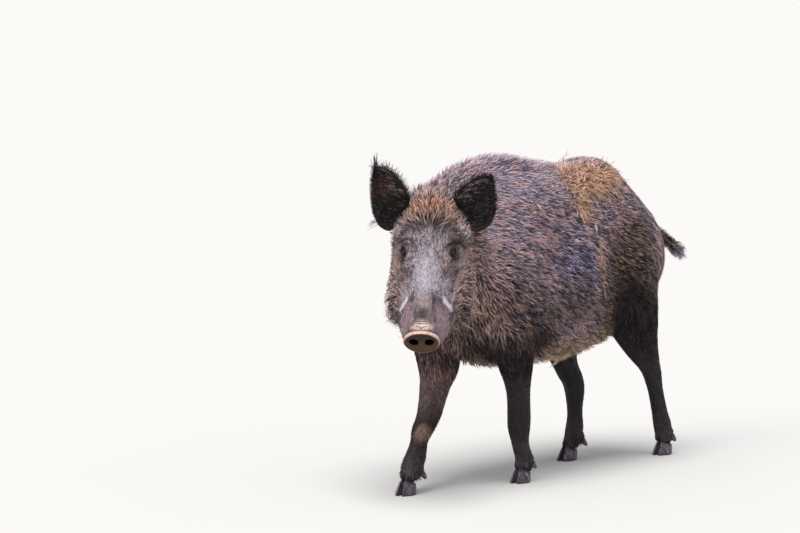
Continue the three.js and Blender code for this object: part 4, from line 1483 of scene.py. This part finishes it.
def make_skin_material():
    """Skin under the coat: the markings darkened by painted shade where hair covers it, with fine hide
    relief.
    """
    made, nodes, shader, link = material("boar skin", 0.62, 0.35)
    coordinates = nodes.new("ShaderNodeTexCoord").outputs["Object"]
    marking = attribute_node(nodes, "marking", "Color")
    grain = attribute_node(nodes, "grain", "Vector")
    streaks = noise_node(nodes, link, grain, 260.0, 4.0, 0.65)
    mottle = noise_node(nodes, link, coordinates, 60.0, 4.0)
    shade = ramp_node(nodes, link, streaks, [(0.32, grey(0.45)), (0.68, grey(1.35))])
    tinted = blend_node(nodes, link, "MULTIPLY", 1.0, marking, shade)
    patches = ramp_node(nodes, link, mottle, [(0.3, grey(0.8)), (0.7, grey(1.12))])
    link(blend_node(nodes, link, "MULTIPLY", 0.8, tinted, patches), shader.inputs["Base Color"])
    bump_node(nodes, link, streaks, 0.5, 0.0016, shader)
    return made


def make_horn_material():
    """Hoof horn: slate grey streaked down to the toe, with growth rings and a ruddy coronet."""
    made, nodes, shader, link = material("hoof horn", 0.4, 0.45)
    coordinates = nodes.new("ShaderNodeTexCoord").outputs["Object"]
    stretched = nodes.new("ShaderNodeMapping")
    stretched.inputs["Scale"].default_value = (1.0, 1.0, 0.16)
    link(coordinates, stretched.inputs["Vector"])
    streaks = noise_node(nodes, link, stretched.outputs["Vector"], 210.0, 4.0)
    slates = [
        (0.3, colour(38, 33, 38)),
        (0.5, colour(72, 65, 74)),
        (0.62, colour(104, 95, 104)),
        (0.75, colour(160, 148, 148)),
    ]
    dark_sole = [(0.0, grey(0.22)), (0.07, grey(0.5)), (0.25, grey(1.0)), (0.8, grey(1.1))]
    coronet = [(0.88, colour(200, 140, 118)), (1.0, grey(0.3))]
    base = ramp_node(nodes, link, streaks, slates)
    # Darker towards the sole, and ruddy at the coronet.
    sole_and_coronet = ramp_node(nodes, link, attribute_node(nodes, "level"), dark_sole + coronet)
    link(blend_node(nodes, link, "MULTIPLY", 1.0, base, sole_and_coronet), shader.inputs["Base Color"])
    wave = nodes.new("ShaderNodeTexWave")
    wave.bands_direction = "Z"
    wave.inputs["Scale"].default_value = 70.0
    wave.inputs["Distortion"].default_value = 3.0
    link(coordinates, wave.inputs["Vector"])
    bump_node(nodes, link, wave.outputs["Fac"], 0.35, 0.0006, shader)
    return made


def make_pad_material():
    """The snout's pad: pinkish rim, earthy brown face, black nostrils, pebbled and slightly moist.

    The face's maroon top and the nostrils' black are painted shade.
    """
    made, nodes, shader, link = material("snout pad", 0.55, 0.25)
    coordinates = nodes.new("ShaderNodeTexCoord").outputs["Object"]
    marking = attribute_node(nodes, "marking", "Color")
    link(attribute_node(nodes, "gloss"), shader.inputs["Specular IOR Level"])
    mottle = noise_node(nodes, link, coordinates, 140.0, 4.0)
    patches = ramp_node(nodes, link, mottle, [(0.3, grey(0.7)), (0.7, grey(1.2))])
    link(blend_node(nodes, link, "MULTIPLY", 1.0, marking, patches), shader.inputs["Base Color"])
    cells = nodes.new("ShaderNodeTexVoronoi")
    cells.inputs["Scale"].default_value = 420.0
    link(coordinates, cells.inputs["Vector"])
    bump_node(nodes, link, cells.outputs["Distance"], 0.4, 0.0008, shader)
    return made


def make_eye_material():
    """A wet dark brown eye with a black pupil."""
    made, nodes, shader, link = material("boar eye", 0.08, 0.4)
    shader.inputs["Coat Weight"].default_value = 0.1
    pupil = [(0.0, colour(6, 5, 5)), (0.2, colour(8, 6, 6))]
    iris = [(0.27, colour(50, 38, 24)), (0.48, colour(28, 21, 15))]
    white = [(0.6, colour(44, 36, 32)), (1.0, colour(60, 50, 46))]
    tint = ramp_node(nodes, link, attribute_node(nodes, "from_pupil"), pupil + iris + white)
    link(tint, shader.inputs["Base Color"])
    return made


coat_material = make_coat_material()
skin_material = make_skin_material()
horn_material = make_horn_material()
pad_material = make_pad_material()
eye_material = make_eye_material()


# ---- the pieces ---------------------------------------------------------------------------
def grain_coordinates(p):
    """Coordinates shrunk along the lie of the hair, so that noise over them runs in streaks."""
    a, l, u = head_coordinates(p)
    head = np.stack([a * 0.5, l, u], -1)
    body = np.stack([p[:, 0], p[:, 1] * 0.2, p[:, 2]], -1)
    legs = np.stack([p[:, 0], p[:, 1], p[:, 2] * 0.2], -1)
    mixed = body + (head - body) * head_share(p)[:, None]
    return (mixed + (legs - mixed) * leg_share(p)[:, None]) * MILLIMETRE


def ear_fields():
    """For each point of an ear: how far across from the inner edge, on which face, how far to the tip."""
    turn = np.append(np.tile(2 * np.pi * np.arange(EAR_AROUND) / EAR_AROUND, EAR_ALONG - 1), [0, 0])
    share = np.append(np.repeat(np.arange(1, EAR_ALONG) / EAR_ALONG, EAR_AROUND), [0, 1])
    return np.stack([(1 - np.cos(turn)) / 2, np.sin(turn), share], -1)


EAR_FIELDS = ear_fields()
EAR_DARK, EAR_RUST, EAR_PALE = colour(30, 23, 25), colour(70, 47, 35), colour(150, 132, 138)
# Out, forward and up from the poll to the foot of an ear, and to the rusty patch in the right one.
EAR_FOOT, RUST_PLACE = (90, 2, -50), (112, 20, 12)


def ear_shades(side):
    """Painted light and shade on an ear's skin.

    Its ribs and lips are painted paler, as highlights, than the cup between them, which is painted shade.
    """
    across, inside, along = EAR_FIELDS.T * [[1], [side], [1]]
    ribs = sum(bell((across - at) / 0.04) for at in (0.06, 0.3, 0.46, 0.64, 0.94))
    # Painted highlights on the ribs and lips inside, painted shade in the cup between them.
    return np.where(inside > 0, 0.3 + 1.2 * ribs * smooth(0.02, 0.2, along), 0.7)


def ear_colours(p):
    """Ears: nearly black, with an orange-brown patch inside the upper half of the right one."""
    patch = bell(np.linalg.norm((p - beside_head(-1, RUST_PLACE)) / [26, 40, 26], axis=1) ** 2)
    return EAR_DARK + (EAR_RUST - EAR_DARK) * patch[:, None]


def add_piece(name, mesh, slot, finish, *nodes):
    """A finished piece that rides on the body and stands for its CAD nodes."""
    made = new_object(name, mesh)
    mesh.materials.append(finish)
    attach(made, "root")
    if nodes:
        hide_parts(*nodes)
    return made


def make_ear(side, tip):
    """An ear's shape, its triangles and its outward directions."""
    shape = closed_grid(ear_surface(side, tip), EAR_AROUND, EAR_ALONG)
    triangles = corner_triangles(shape[1], shape[2])
    return shape, triangles, vertex_normals(shape[0], triangles)


skin_mesh = body_skin()
body_points, body_triangles = read_mesh(skin_mesh)
body_normals = vertex_normals(body_points, body_triangles)
ground = Surroundings(body_points, body_normals, cell=9.0)
ears = {name: make_ear(side, EAR_TIPS[name]) for name, side in SIDES.items()}


def join_ears(mesh):
    """Both ears' shapes join the mesh of the skin, after its own points."""
    ear_mesh = mesh_of("ears", join_shapes([shape for shape, _, _ in ears.values()]))
    together = bmesh.new()
    together.from_mesh(mesh)
    together.from_mesh(ear_mesh)
    together.to_mesh(mesh)
    together.free()
    mesh.shade_smooth()


def skin_colours(points):
    """The skin: the markings, darker where hair covers it, dark edges of the lids, and the ears.

    The darkening under the hair is painted shade, and the ears carry painted light and shade.
    """
    a = head_coordinates(points)[0]
    # Painted shade under the coat: darkest where hair is thick, lighter near the eyes, on the front of the
    # face and on the legs.
    light_under_hair = 0.3 + 0.15 * near_eyes(points, 17) + 0.5 * head_share(points) * smooth(220, 330, a)
    light_under_hair = light_under_hair + 0.4 * leg_share(points)
    colours = markings(points) * (light_under_hair * (1 - 0.88 * lid_edges(points)))[:, None]
    on_ear = np.arange(len(points)) >= len(body_points)
    shades = np.concatenate([ear_shades(side) for side in SIDES.values()])
    colours[on_ear] = ear_colours(points[on_ear]) * shades[:, None]
    return colours


def add_skin():
    """The one skin with its ears, in the place of every node of flesh."""
    join_ears(skin_mesh)
    points, _ = read_mesh(skin_mesh)
    set_field(skin_mesh, "marking", skin_colours(points))
    grain = grain_coordinates(points).astype(np.float32)
    skin_mesh.attributes.new("grain", "FLOAT_VECTOR", "POINT").data.foreach_set("vector", grain.ravel())
    add_piece(
        "boar_skin", skin_mesh, "coat", skin_material,
        "trunk", "neck", "head", "tail", "ear_left", "ear_right",
        *("leg_" + leg for leg in LEGS),
    )


RIM_PINK, RIM_TAN = colour(200, 164, 154), colour(186, 150, 110)
# The pad's face: dark maroon at the top as painted shadow under the rim, and brown below.
PAD_SHADED_TOP, PAD_BROWN = colour(50, 30, 24), colour(72, 52, 28)


def add_disc():
    """The pad of the snout: rim pink above and tan below, brown face, nostrils black where they sink.

    The darker maroon top of the face is painted shadow under the rim, and the nostrils' black is
    painted shade in them.
    """
    shape = closed_grid(disc_surface, around=96, along=72)
    mesh = mesh_of("snout_pad", shape)
    middle, axes = disc_frame()
    proud, across, above = ((shape[0] - middle) @ axes.T).T
    from_rim = np.hypot(across / PAD_HALF_WIDTH, above / PAD_HALF_HEIGHT)
    height = (above / PAD_HALF_HEIGHT)[:, None]
    rim = RIM_TAN + (RIM_PINK - RIM_TAN) * smooth(0.1, 0.7, height)
    rim = rim * (1 - 0.45 * smooth(-0.5, -1, height))
    # Maroon at the top of the face as painted shadow under the rim.
    face = PAD_SHADED_TOP + (PAD_BROWN - PAD_SHADED_TOP) * smooth(0.45, -0.15, height)
    on_face = np.maximum(smooth(1.0, 0.93, from_rim) * smooth(8.2, 9.2, proud), smooth(0.97, 0.9, from_rim))
    # Painted shade: the nostrils turn black where they sink.
    sunk = smooth(8.6, 6.4, proud) * smooth(0.95, 0.8, from_rim)
    colours = (rim + (face - rim) * on_face[:, None]) * (1 - 0.98 * sunk)[:, None]
    set_field(mesh, "marking", colours)
    set_field(mesh, "gloss", 0.25 * (1 - sunk))
    add_piece("snout_pad", mesh, "pad", pad_material, "snout_disc")


# Radians from the pupil over which the colours of an eye are spread.
EYE_SPAN = 1.5


def add_eyes():
    """Both eyeballs, with the angle from the pupil for their material."""
    for name, side in SIDES.items():
        middle, gaze, _, _ = eye_frame(side)
        shape = closed_grid(eye_surface(side), around=40, along=32)
        mesh = mesh_of("eyeball_" + name, shape)
        away = np.arccos(np.clip(unit(shape[0] - middle) @ gaze, -1, 1))
        set_field(mesh, "from_pupil", away / EYE_SPAN)
        add_piece("eyeball_" + name, mesh, "eye", eye_material, "eye_" + name)


HOOF_AROUND, HOOF_ALONG = 48, 30


def add_feet():
    """Two hooves and two dewclaws on each foot, with the level up the horn for their material."""
    rise = np.interp(np.arange(1, HOOF_ALONG) / HOOF_ALONG, [0.14, 0.9], [0, 1])
    level = np.append(np.repeat(rise, HOOF_AROUND), [0, 1])
    for leg_name, leg in LEGS.items():
        for name, side in SIDES.items():
            which = f"_{leg_name}_{name}"
            shape = closed_grid(hoof_surface(leg["foot"], side), HOOF_AROUND, HOOF_ALONG)
            mesh = mesh_of("horn" + which, shape)
            set_field(mesh, "level", level)
            add_piece("horn" + which, mesh, "horn", horn_material, "hoof" + which)
            shape = closed_grid(dewclaw_surface(leg["foot"], side), around=24, along=20)
            mesh = mesh_of("claw" + which, shape)
            set_field(mesh, "level", np.full(len(shape[0]), 0.5))
            add_piece("claw" + which, mesh, "horn", horn_material, "dewclaw" + which)


# ---- the coat -----------------------------------------------------------------------------
SHARE = 1.0
# Tufts on each square millimetre: the long coat, the coat under it, and short hair on head and legs.
GUARD, UNDER, SHORT, LEG_SHORT = 0.045, 0.105, 0.46, 0.15
middles = body_points[body_triangles].mean(axis=1)
middle_length = hair_sizes(middles)[0]
long_here = smooth(15, 19, middle_length) * np.clip(29 / middle_length, 0.8, 1.6) ** 1.3


def strewn(density):
    """Roots, normals, lie and sizes of tufts strewn over the body by a density for each face."""
    places = scatter(body_points, body_triangles, density * SHARE)
    roots, normals = at_places(body_points, places), unit(at_places(body_normals, places))
    return roots, normals, lie_of_coat(roots, normals), hair_sizes(roots)


def chosen_of(tufts, chosen):
    """Some of a set of tufts."""
    roots, normals, lie, sizes = tufts
    return roots[chosen], normals[chosen], lie[chosen], [s[chosen] for s in sizes]


# Parts of the trunk's coat from the front, and the places along the body where they meet.
SECTIONS = ("throat", "neck", "shoulder", "barrel", "flank", "rump")
SECTION_ENDS = [-330, -200, -60, 90, 240]


def add_long_coat(kind, density, steps, longer, higher):
    """A layer of the long coat over trunk, head, thighs and tail, as one piece for each part."""
    roots, normals, lie, (length, width, lift) = strewn(density * long_here)
    tufts = roots, normals, lie, (length * longer, width, lift * higher)
    on_head = head_share(roots) > 0.5
    on_tail = (tail_distance(roots)[0] < 22) & (roots[:, 1] > 460)
    on_leg = (leg_share(roots) > 0.4) & ~on_head & ~on_tail
    rest = ~(on_head | on_tail | on_leg)
    section = np.digitize(roots[:, 1], SECTION_ENDS)
    on_left = roots[:, 0] > np.interp(roots[:, 1], [-470, -280], [62, 3])
    parts = [("head", on_head, unwrap_head), ("thighs", on_leg, unwrap_legs), ("tail", on_tail, unwrap_tail)]
    for k, name in enumerate(SECTIONS):
        parts.append((name + "_left", rest & (section == k) & on_left, unwrap_trunk))
        parts.append((name + "_right", rest & (section == k) & ~on_left, unwrap_trunk))
    for name, here, unwrap in parts:
        coat_piece(f"{kind}_{name}", chosen_of(tufts, here), ground, steps, unwrap)


def short_density():
    """Density of short hair: full on head and legs, thin on the bare nose, the lids, folds and hooves."""
    a, _, u = head_coordinates(middles)
    bare = head_share(middles) * smooth(334, 346, a) * (1 - 0.5 * smooth(-40, -60, u))
    over_hooves = smooth(24, 34, middles[:, 2]) + smooth(0, 1, head_share(middles))
    eyes = [eye_frame(side)[0] for side in SIDES.values()]
    lids = sum(smooth(19, 15, np.linalg.norm(middles - eye, axis=1)) for eye in eyes)
    here = smooth(19, 15, middle_length) * (1 - 0.92 * bare) * np.clip(over_hooves, 0, 1) * (1 - 0.5 * lids)
    here = here * (1 - 0.65 * np.minimum(folds(middles)[1], 1))
    on_head = smooth(0.3, 0.7, head_share(middles))
    return (SHORT * on_head + LEG_SHORT * (1 - on_head)) * here


def add_short_coat():
    """The short hair of the face and the legs."""
    tufts = strewn(short_density())
    on_head = head_share(tufts[0]) > 0.5
    in_front = ~on_head & (tufts[0][:, 1] < 60)
    coat_piece("coat_face", chosen_of(tufts, on_head), None, 1, unwrap_head, ruffle=0.42)
    coat_piece("coat_legs_front", chosen_of(tufts, in_front), None, 1, unwrap_legs, ruffle=0.1)
    coat_piece("coat_legs_hind", chosen_of(tufts, ~on_head & ~in_front), None, 1, unwrap_legs, ruffle=0.1)


CREST_TAN = colour(202, 166, 154)
CREST_MARKS = [
    ("ginger in the middle", (34, 0, 0), (44, 56, 60), colour(190, 146, 126), 1.0),
    ("dark at the forehead", (96, 0, 0), (30, 64, 40), colour(112, 98, 100), 0.85),
    ("silver at the ears", (86, 70, -40), (24, 20, 30), colour(196, 188, 196), 0.8),
]


def add_crest():
    """Stiff bristles that stand in a fan over the crown and spread over the feet of the ears."""
    a, l, u = head_coordinates(middles)
    density = head_share(middles) * smooth(106, 58, a) * smooth(-40, -10, a) * smooth(-95, -60, u)
    density = density * (0.055 + 0.045 * smooth(45, 75, np.abs(l))) * smooth(94, 76, np.abs(l))
    roots, normals, _, _ = strewn(density)
    a, l, _ = head_coordinates(roots)
    fan = unit(np.stack([a - 112, 1.35 * l, 55 + 0 * a], -1) @ HEAD)
    sizes = 29, 1.15, 17 + 3 * smooth(40, 80, np.abs(l))
    tips = painted(CREST_TAN, either_cheek(roots), CREST_MARKS)
    coat_piece(
        "coat_crest", (roots, normals, fan, sizes), ground, 2, unwrap_head,
        ruffle=0.16, curl=0.12, colours=tips,
    )


STRAW = colour(224, 180, 154)
# Matted moulting hair: its place on the left side, its size, and its tufts on each square millimetre.
MOULT = [
    ((82, 130, 702), (42, 95, 36), 0.12),
    ((112, 42, 668), (30, 26, 44), 0.065),
    ((160, 90, 540), (30, 9, 100), 0.018),
    ((118, 10, 306), (26, 30, 20), 0.045),
]
# How much of it there is on the right side.
MOULT_RIGHT = 0.15


def add_moult():
    """Matted moulting hair, pale as straw, that hangs from the coat."""
    mirrored = middles * [-1, 1, 1]
    amounts = [
        strength * bell(np.linalg.norm((middles - middle) / size, axis=1) ** 2)
        + MOULT_RIGHT * strength * bell(np.linalg.norm((mirrored - middle) / size, axis=1) ** 2)
        for middle, size, strength in MOULT
    ]
    roots, normals, _, (length, width, _) = strewn(np.sum(amounts, axis=0))
    hanging = smooth(680, 600, roots[:, 2])
    lie = np.stack([np.zeros(len(roots)), 0.5 - 0.4 * hanging, -0.25 - hanging], -1)
    sizes = length * 1.6, width * 0.95, 9 + 12 * (1 - hanging)
    coat_piece(
        "coat_moult", (roots, normals, lie, sizes), ground, 3, unwrap_trunk,
        ruffle=0.8 - 0.6 * hanging, curl=0.25, colours=STRAW,
    )


# Single loose straws on the left side: place, the way each one points, and its length.
LOOSE = [
    ((117, -130, 658), (0, 0.3, -1), 19),
    ((127, -55, 640), (0, 0.4, -1), 24),
    ((126, -163, 635), (0, 1, 0), 19),
    ((123, 209, 629), (0, 1, 0.7), 19),
    ((151, 25, 572), (0, 0.2, -1), 22),
    ((142, 68, 597), (0, -0.3, -1), 24),
    ((152, -34, 567), (0, 1, -0.4), 19),
    ((118, -8, 300), (0, 0.1, -1), 72),
    ((120, 12, 302), (0, -0.1, -1), 60),
    ((114, 30, 300), (0, 0.2, -1), 48),
]
LOOSE_STRANDS, LOOSE_HEIGHT, LOOSE_PALE = 6, 14, colour(286, 248, 214)


def add_straws():
    """The loose straws: a few strands each, from one place just over the coat."""
    nearest = [np.argmin(np.linalg.norm(body_points - place, axis=1)) for place, _, _ in LOOSE]
    at = np.repeat(nearest, LOOSE_STRANDS)
    ways = np.repeat([way for _, way, _ in LOOSE], LOOSE_STRANDS, axis=0).astype(float)
    length = np.repeat([float(length) for _, _, length in LOOSE], LOOSE_STRANDS)
    apart = rng.normal(0, 1, (len(at), 3)) * (length / 30)[:, None]
    roots = body_points[at] + body_normals[at] * LOOSE_HEIGHT + apart
    coat_piece(
        "coat_straws", (roots, body_normals[at], ways, (length, 2.2, 3)), None, 3, unwrap_trunk,
        ruffle=0.07, curl=0.05, colours=LOOSE_PALE,
    )


def add_ear_coat(name, side):
    """The hair of one ear: long and sparse inside the cup, short on its back, and a fringe round its rim."""
    shape, triangles, normals = ears[name]
    across, inside, along = EAR_FIELDS[triangles].mean(axis=1).T * [[1], [side], [1]]
    rim = np.minimum(across, 1 - across) < 0.02
    density = np.where(rim, 0.2, np.where(inside > 0, 0.06 + 0.10 * smooth(0.35, 0.1, across), 0.22))
    density = density * smooth(0.02, 0.06, along)
    places = scatter(shape[0], triangles, density * SHARE)
    roots, normals = at_places(shape[0], places), unit(at_places(normals, places))
    across, inside, along = at_places(EAR_FIELDS, places).T * [[1], [side], [1]]
    tipward = unit(beside_head(side, EAR_TIPS[name]) - beside_head(side, EAR_FOOT))
    outward = LEVEL[1] * side
    rim = smooth(0.05, 0.01, np.minimum(across, 1 - across))[:, None]
    open_side = (inside > 0)[:, None]
    fringe = 0.7 * outward * np.sign(across - 0.5)[:, None] + tipward * 1.1
    lie = np.where(open_side, outward * 0.9 + tipward * 0.35, tipward + outward * 0.1)
    lie = lie * (1 - rim) + fringe * rim
    normals = unit(normals * (1 - rim) + ear_opening(side) * rim)
    rim, open_side = rim[:, 0], open_side[:, 0]
    near_root = bell(across / 0.3) * open_side
    length = 7 + 1.5 * rim + 13 * near_root + 6 * open_side * (1 - rim)
    lift = 1.0 + 3.5 * near_root + 2 * open_side
    colours = ear_colours(roots) * (0.6 + 0.9 * near_root)[:, None]
    pale = 0.35 * (near_root + 0.4 * open_side) * (rng.random(len(roots)) < 0.45)
    colours = colours + (EAR_PALE - colours) * pale[:, None]
    # In the map the left ear lies beside the right one.
    on_map = np.stack([(across + (1.1 if side > 0 else 0.0)) / 2.1, along], -1)
    coat_piece(
        "coat_ear_" + name, (roots, normals, lie, (length, 1, lift)), None, 2, lambda _: on_map,
        ruffle=0.16, curl=0.12, colours=colours,
    )


TIP_WISPS, LOBE_WISPS, LOBE = 14, 12, (108, 30, -58)
WISP_DARK, WISP_PALE = colour(44, 36, 40), colour(176, 164, 160)


def add_ear_wisps():
    """A wisp of long dark hair on the tip of the right ear, and a pale one that hangs under its lobe."""
    ear_points = ears["right"][0][0]
    tip = beside_head(-1, EAR_TIPS["right"])
    roots = []
    for place, tufts in ((tip, TIP_WISPS), (beside_head(-1, LOBE), LOBE_WISPS)):
        nearest = np.argsort(np.linalg.norm(ear_points - place, axis=1))
        roots.append(ear_points[nearest[: 3 * tufts : 3]])
    roots = np.concatenate(roots)
    at_tip = (np.arange(len(roots)) < TIP_WISPS)[:, None]
    tipward = unit(tip - beside_head(-1, EAR_FOOT))
    lie = np.where(at_tip, tipward + 0.35 * LEVEL[1], -LEVEL[1] - 0.4 * LEVEL[2])
    normals = np.tile(unit(LEVEL[0]), (len(roots), 1))
    coat_piece(
        "coat_ear_wisps", (roots, normals, lie, (27, 0.9, 6)), None, 3, unwrap_head,
        ruffle=0.2, curl=0.15, colours=np.where(at_tip, WISP_DARK, WISP_PALE),
    )


LASHES, LASH_BLACK = 44, colour(34, 27, 30)


def add_lashes():
    """Lashes in a row along each upper lid, on a sphere a little larger than the eyeball."""
    rows = []
    for side in SIDES.values():
        middle, gaze, front, up = eye_frame(side)
        x = np.linspace(-9.5, 9.5, LASHES)
        y = lid_opening(x) + 0.6
        out = np.sqrt((EYE_RADIUS + 1.6) ** 2 - x**2 - y**2)
        roots = middle + x[:, None] * front + y[:, None] * up + out[:, None] * gaze
        rows.append((roots, unit(roots - middle), 0.05 * x[:, None] * front - 0.5 * up + 0.5 * gaze))
    roots, normals, lie = map(np.concatenate, zip(*rows))
    coat_piece(
        "coat_lashes", (roots, normals, lie, (8, 0.7, 4.5)), None, 2, unwrap_head,
        ruffle=0.08, curl=0.1, colours=LASH_BLACK,
    )


WHISKERS, WHISKER_PALE = 0.004, colour(150, 132, 122)


def add_whiskers():
    """Sparse stiff whiskers on the sides of the muzzle and the chin."""
    a, _, u = head_coordinates(middles)
    density = head_share(middles) * smooth(240, 270, a) * smooth(350, 335, a) * smooth(-40, -60, u)
    roots, normals, lie, _ = strewn(density * WHISKERS)
    coat_piece(
        "coat_whiskers", (roots, normals, lie, (34, 0.8, 16)), None, 3, unwrap_head,
        ruffle=0.3, curl=0.2, colours=WHISKER_PALE,
    )


add_skin()
add_disc()
add_eyes()
add_feet()
add_long_coat("undercoat", UNDER, steps=1, longer=0.8, higher=0.7)
add_long_coat("coat", GUARD, steps=2, longer=1.05, higher=1.1)
add_short_coat()
add_crest()
add_moult()
add_straws()
for name, side in SIDES.items():
    add_ear_coat(name, side)
add_ear_wisps()
add_lashes()
add_whiskers()


# ---- stage --------------------------------------------------------------------------------
FLOOR_HALF, FLOOR_GREY = 150, (0.62, 0.61, 0.6, 1)
SKY_TINT, SKY_STRENGTH = (0.94, 0.97, 1.0, 1), 0.54
# The camera stands ten metres away with a long lens, a little above the animal's eyes.
CAMERA_PLACE = (5.69476, -8.04554, 1.47809)
CAMERA_AZIMUTH, CAMERA_DOWN, CAMERA_LENS, SENSOR_WIDTH = 36.9189, 5.6762, 189.9, 36


def lay_floor():
    """The plain pale floor."""
    corners = [(x * FLOOR_HALF, y * FLOOR_HALF, 0) for x, y in ((-1, -1), (1, -1), (1, 1), (-1, 1))]
    mesh = bpy.data.meshes.new("floor")
    mesh.from_pydata(corners, [], [(0, 1, 2, 3)])
    floor = new_object("floor", mesh)
    finish, _, shader, _ = material("pale floor", 0.9, 0.2)
    shader.inputs["Base Color"].default_value = FLOOR_GREY
    mesh.materials.append(finish)


def light_sky():
    """An even studio light from all round."""
    world = bpy.data.worlds.new("studio")
    world.use_nodes = True
    background = world.node_tree.nodes["Background"]
    background.inputs["Color"].default_value = SKY_TINT
    background.inputs["Strength"].default_value = SKY_STRENGTH
    bpy.context.scene.world = world


def soft_lamp(name, azimuth, height, strength, spread, tint):
    """A lamp far away in a direction given in degrees, as wide in the sky as spread."""
    lamp = bpy.data.lights.new(name, "SUN")
    lamp.energy, lamp.angle, lamp.color = strength, math.radians(spread), tint
    made = bpy.data.objects.new(name, lamp)
    bpy.context.scene.collection.objects.link(made)
    made.rotation_euler = (math.radians(90 - height), 0, math.radians(azimuth))


def set_camera():
    """The camera at its place, turned by its azimuth and dipped towards the animal."""
    data = bpy.data.cameras.new("camera")
    data.sensor_width, data.lens, data.clip_end = SENSOR_WIDTH, CAMERA_LENS, 500
    camera = bpy.data.objects.new("camera", data)
    bpy.context.scene.collection.objects.link(camera)
    turn, dip = math.radians(CAMERA_AZIMUTH), math.radians(CAMERA_DOWN)
    backward = np.array([math.sin(turn) * math.cos(dip), -math.cos(turn) * math.cos(dip), math.sin(dip)])
    right = np.array([math.cos(turn), math.sin(turn), 0])
    axes = np.eye(4)
    axes[:3] = np.stack([right, np.cross(backward, right), backward, CAMERA_PLACE], -1)
    camera.matrix_world = Matrix(axes)
    bpy.context.scene.camera = camera


lay_floor()
light_sky()
soft_lamp("overhead", azimuth=35, height=70, strength=3.0, spread=40, tint=(1.0, 0.99, 0.97))
soft_lamp("key", azimuth=-4, height=36, strength=0.95, spread=35, tint=(1.0, 0.98, 0.95))
set_camera()
bpy.context.scene.view_settings.view_transform = "Standard"
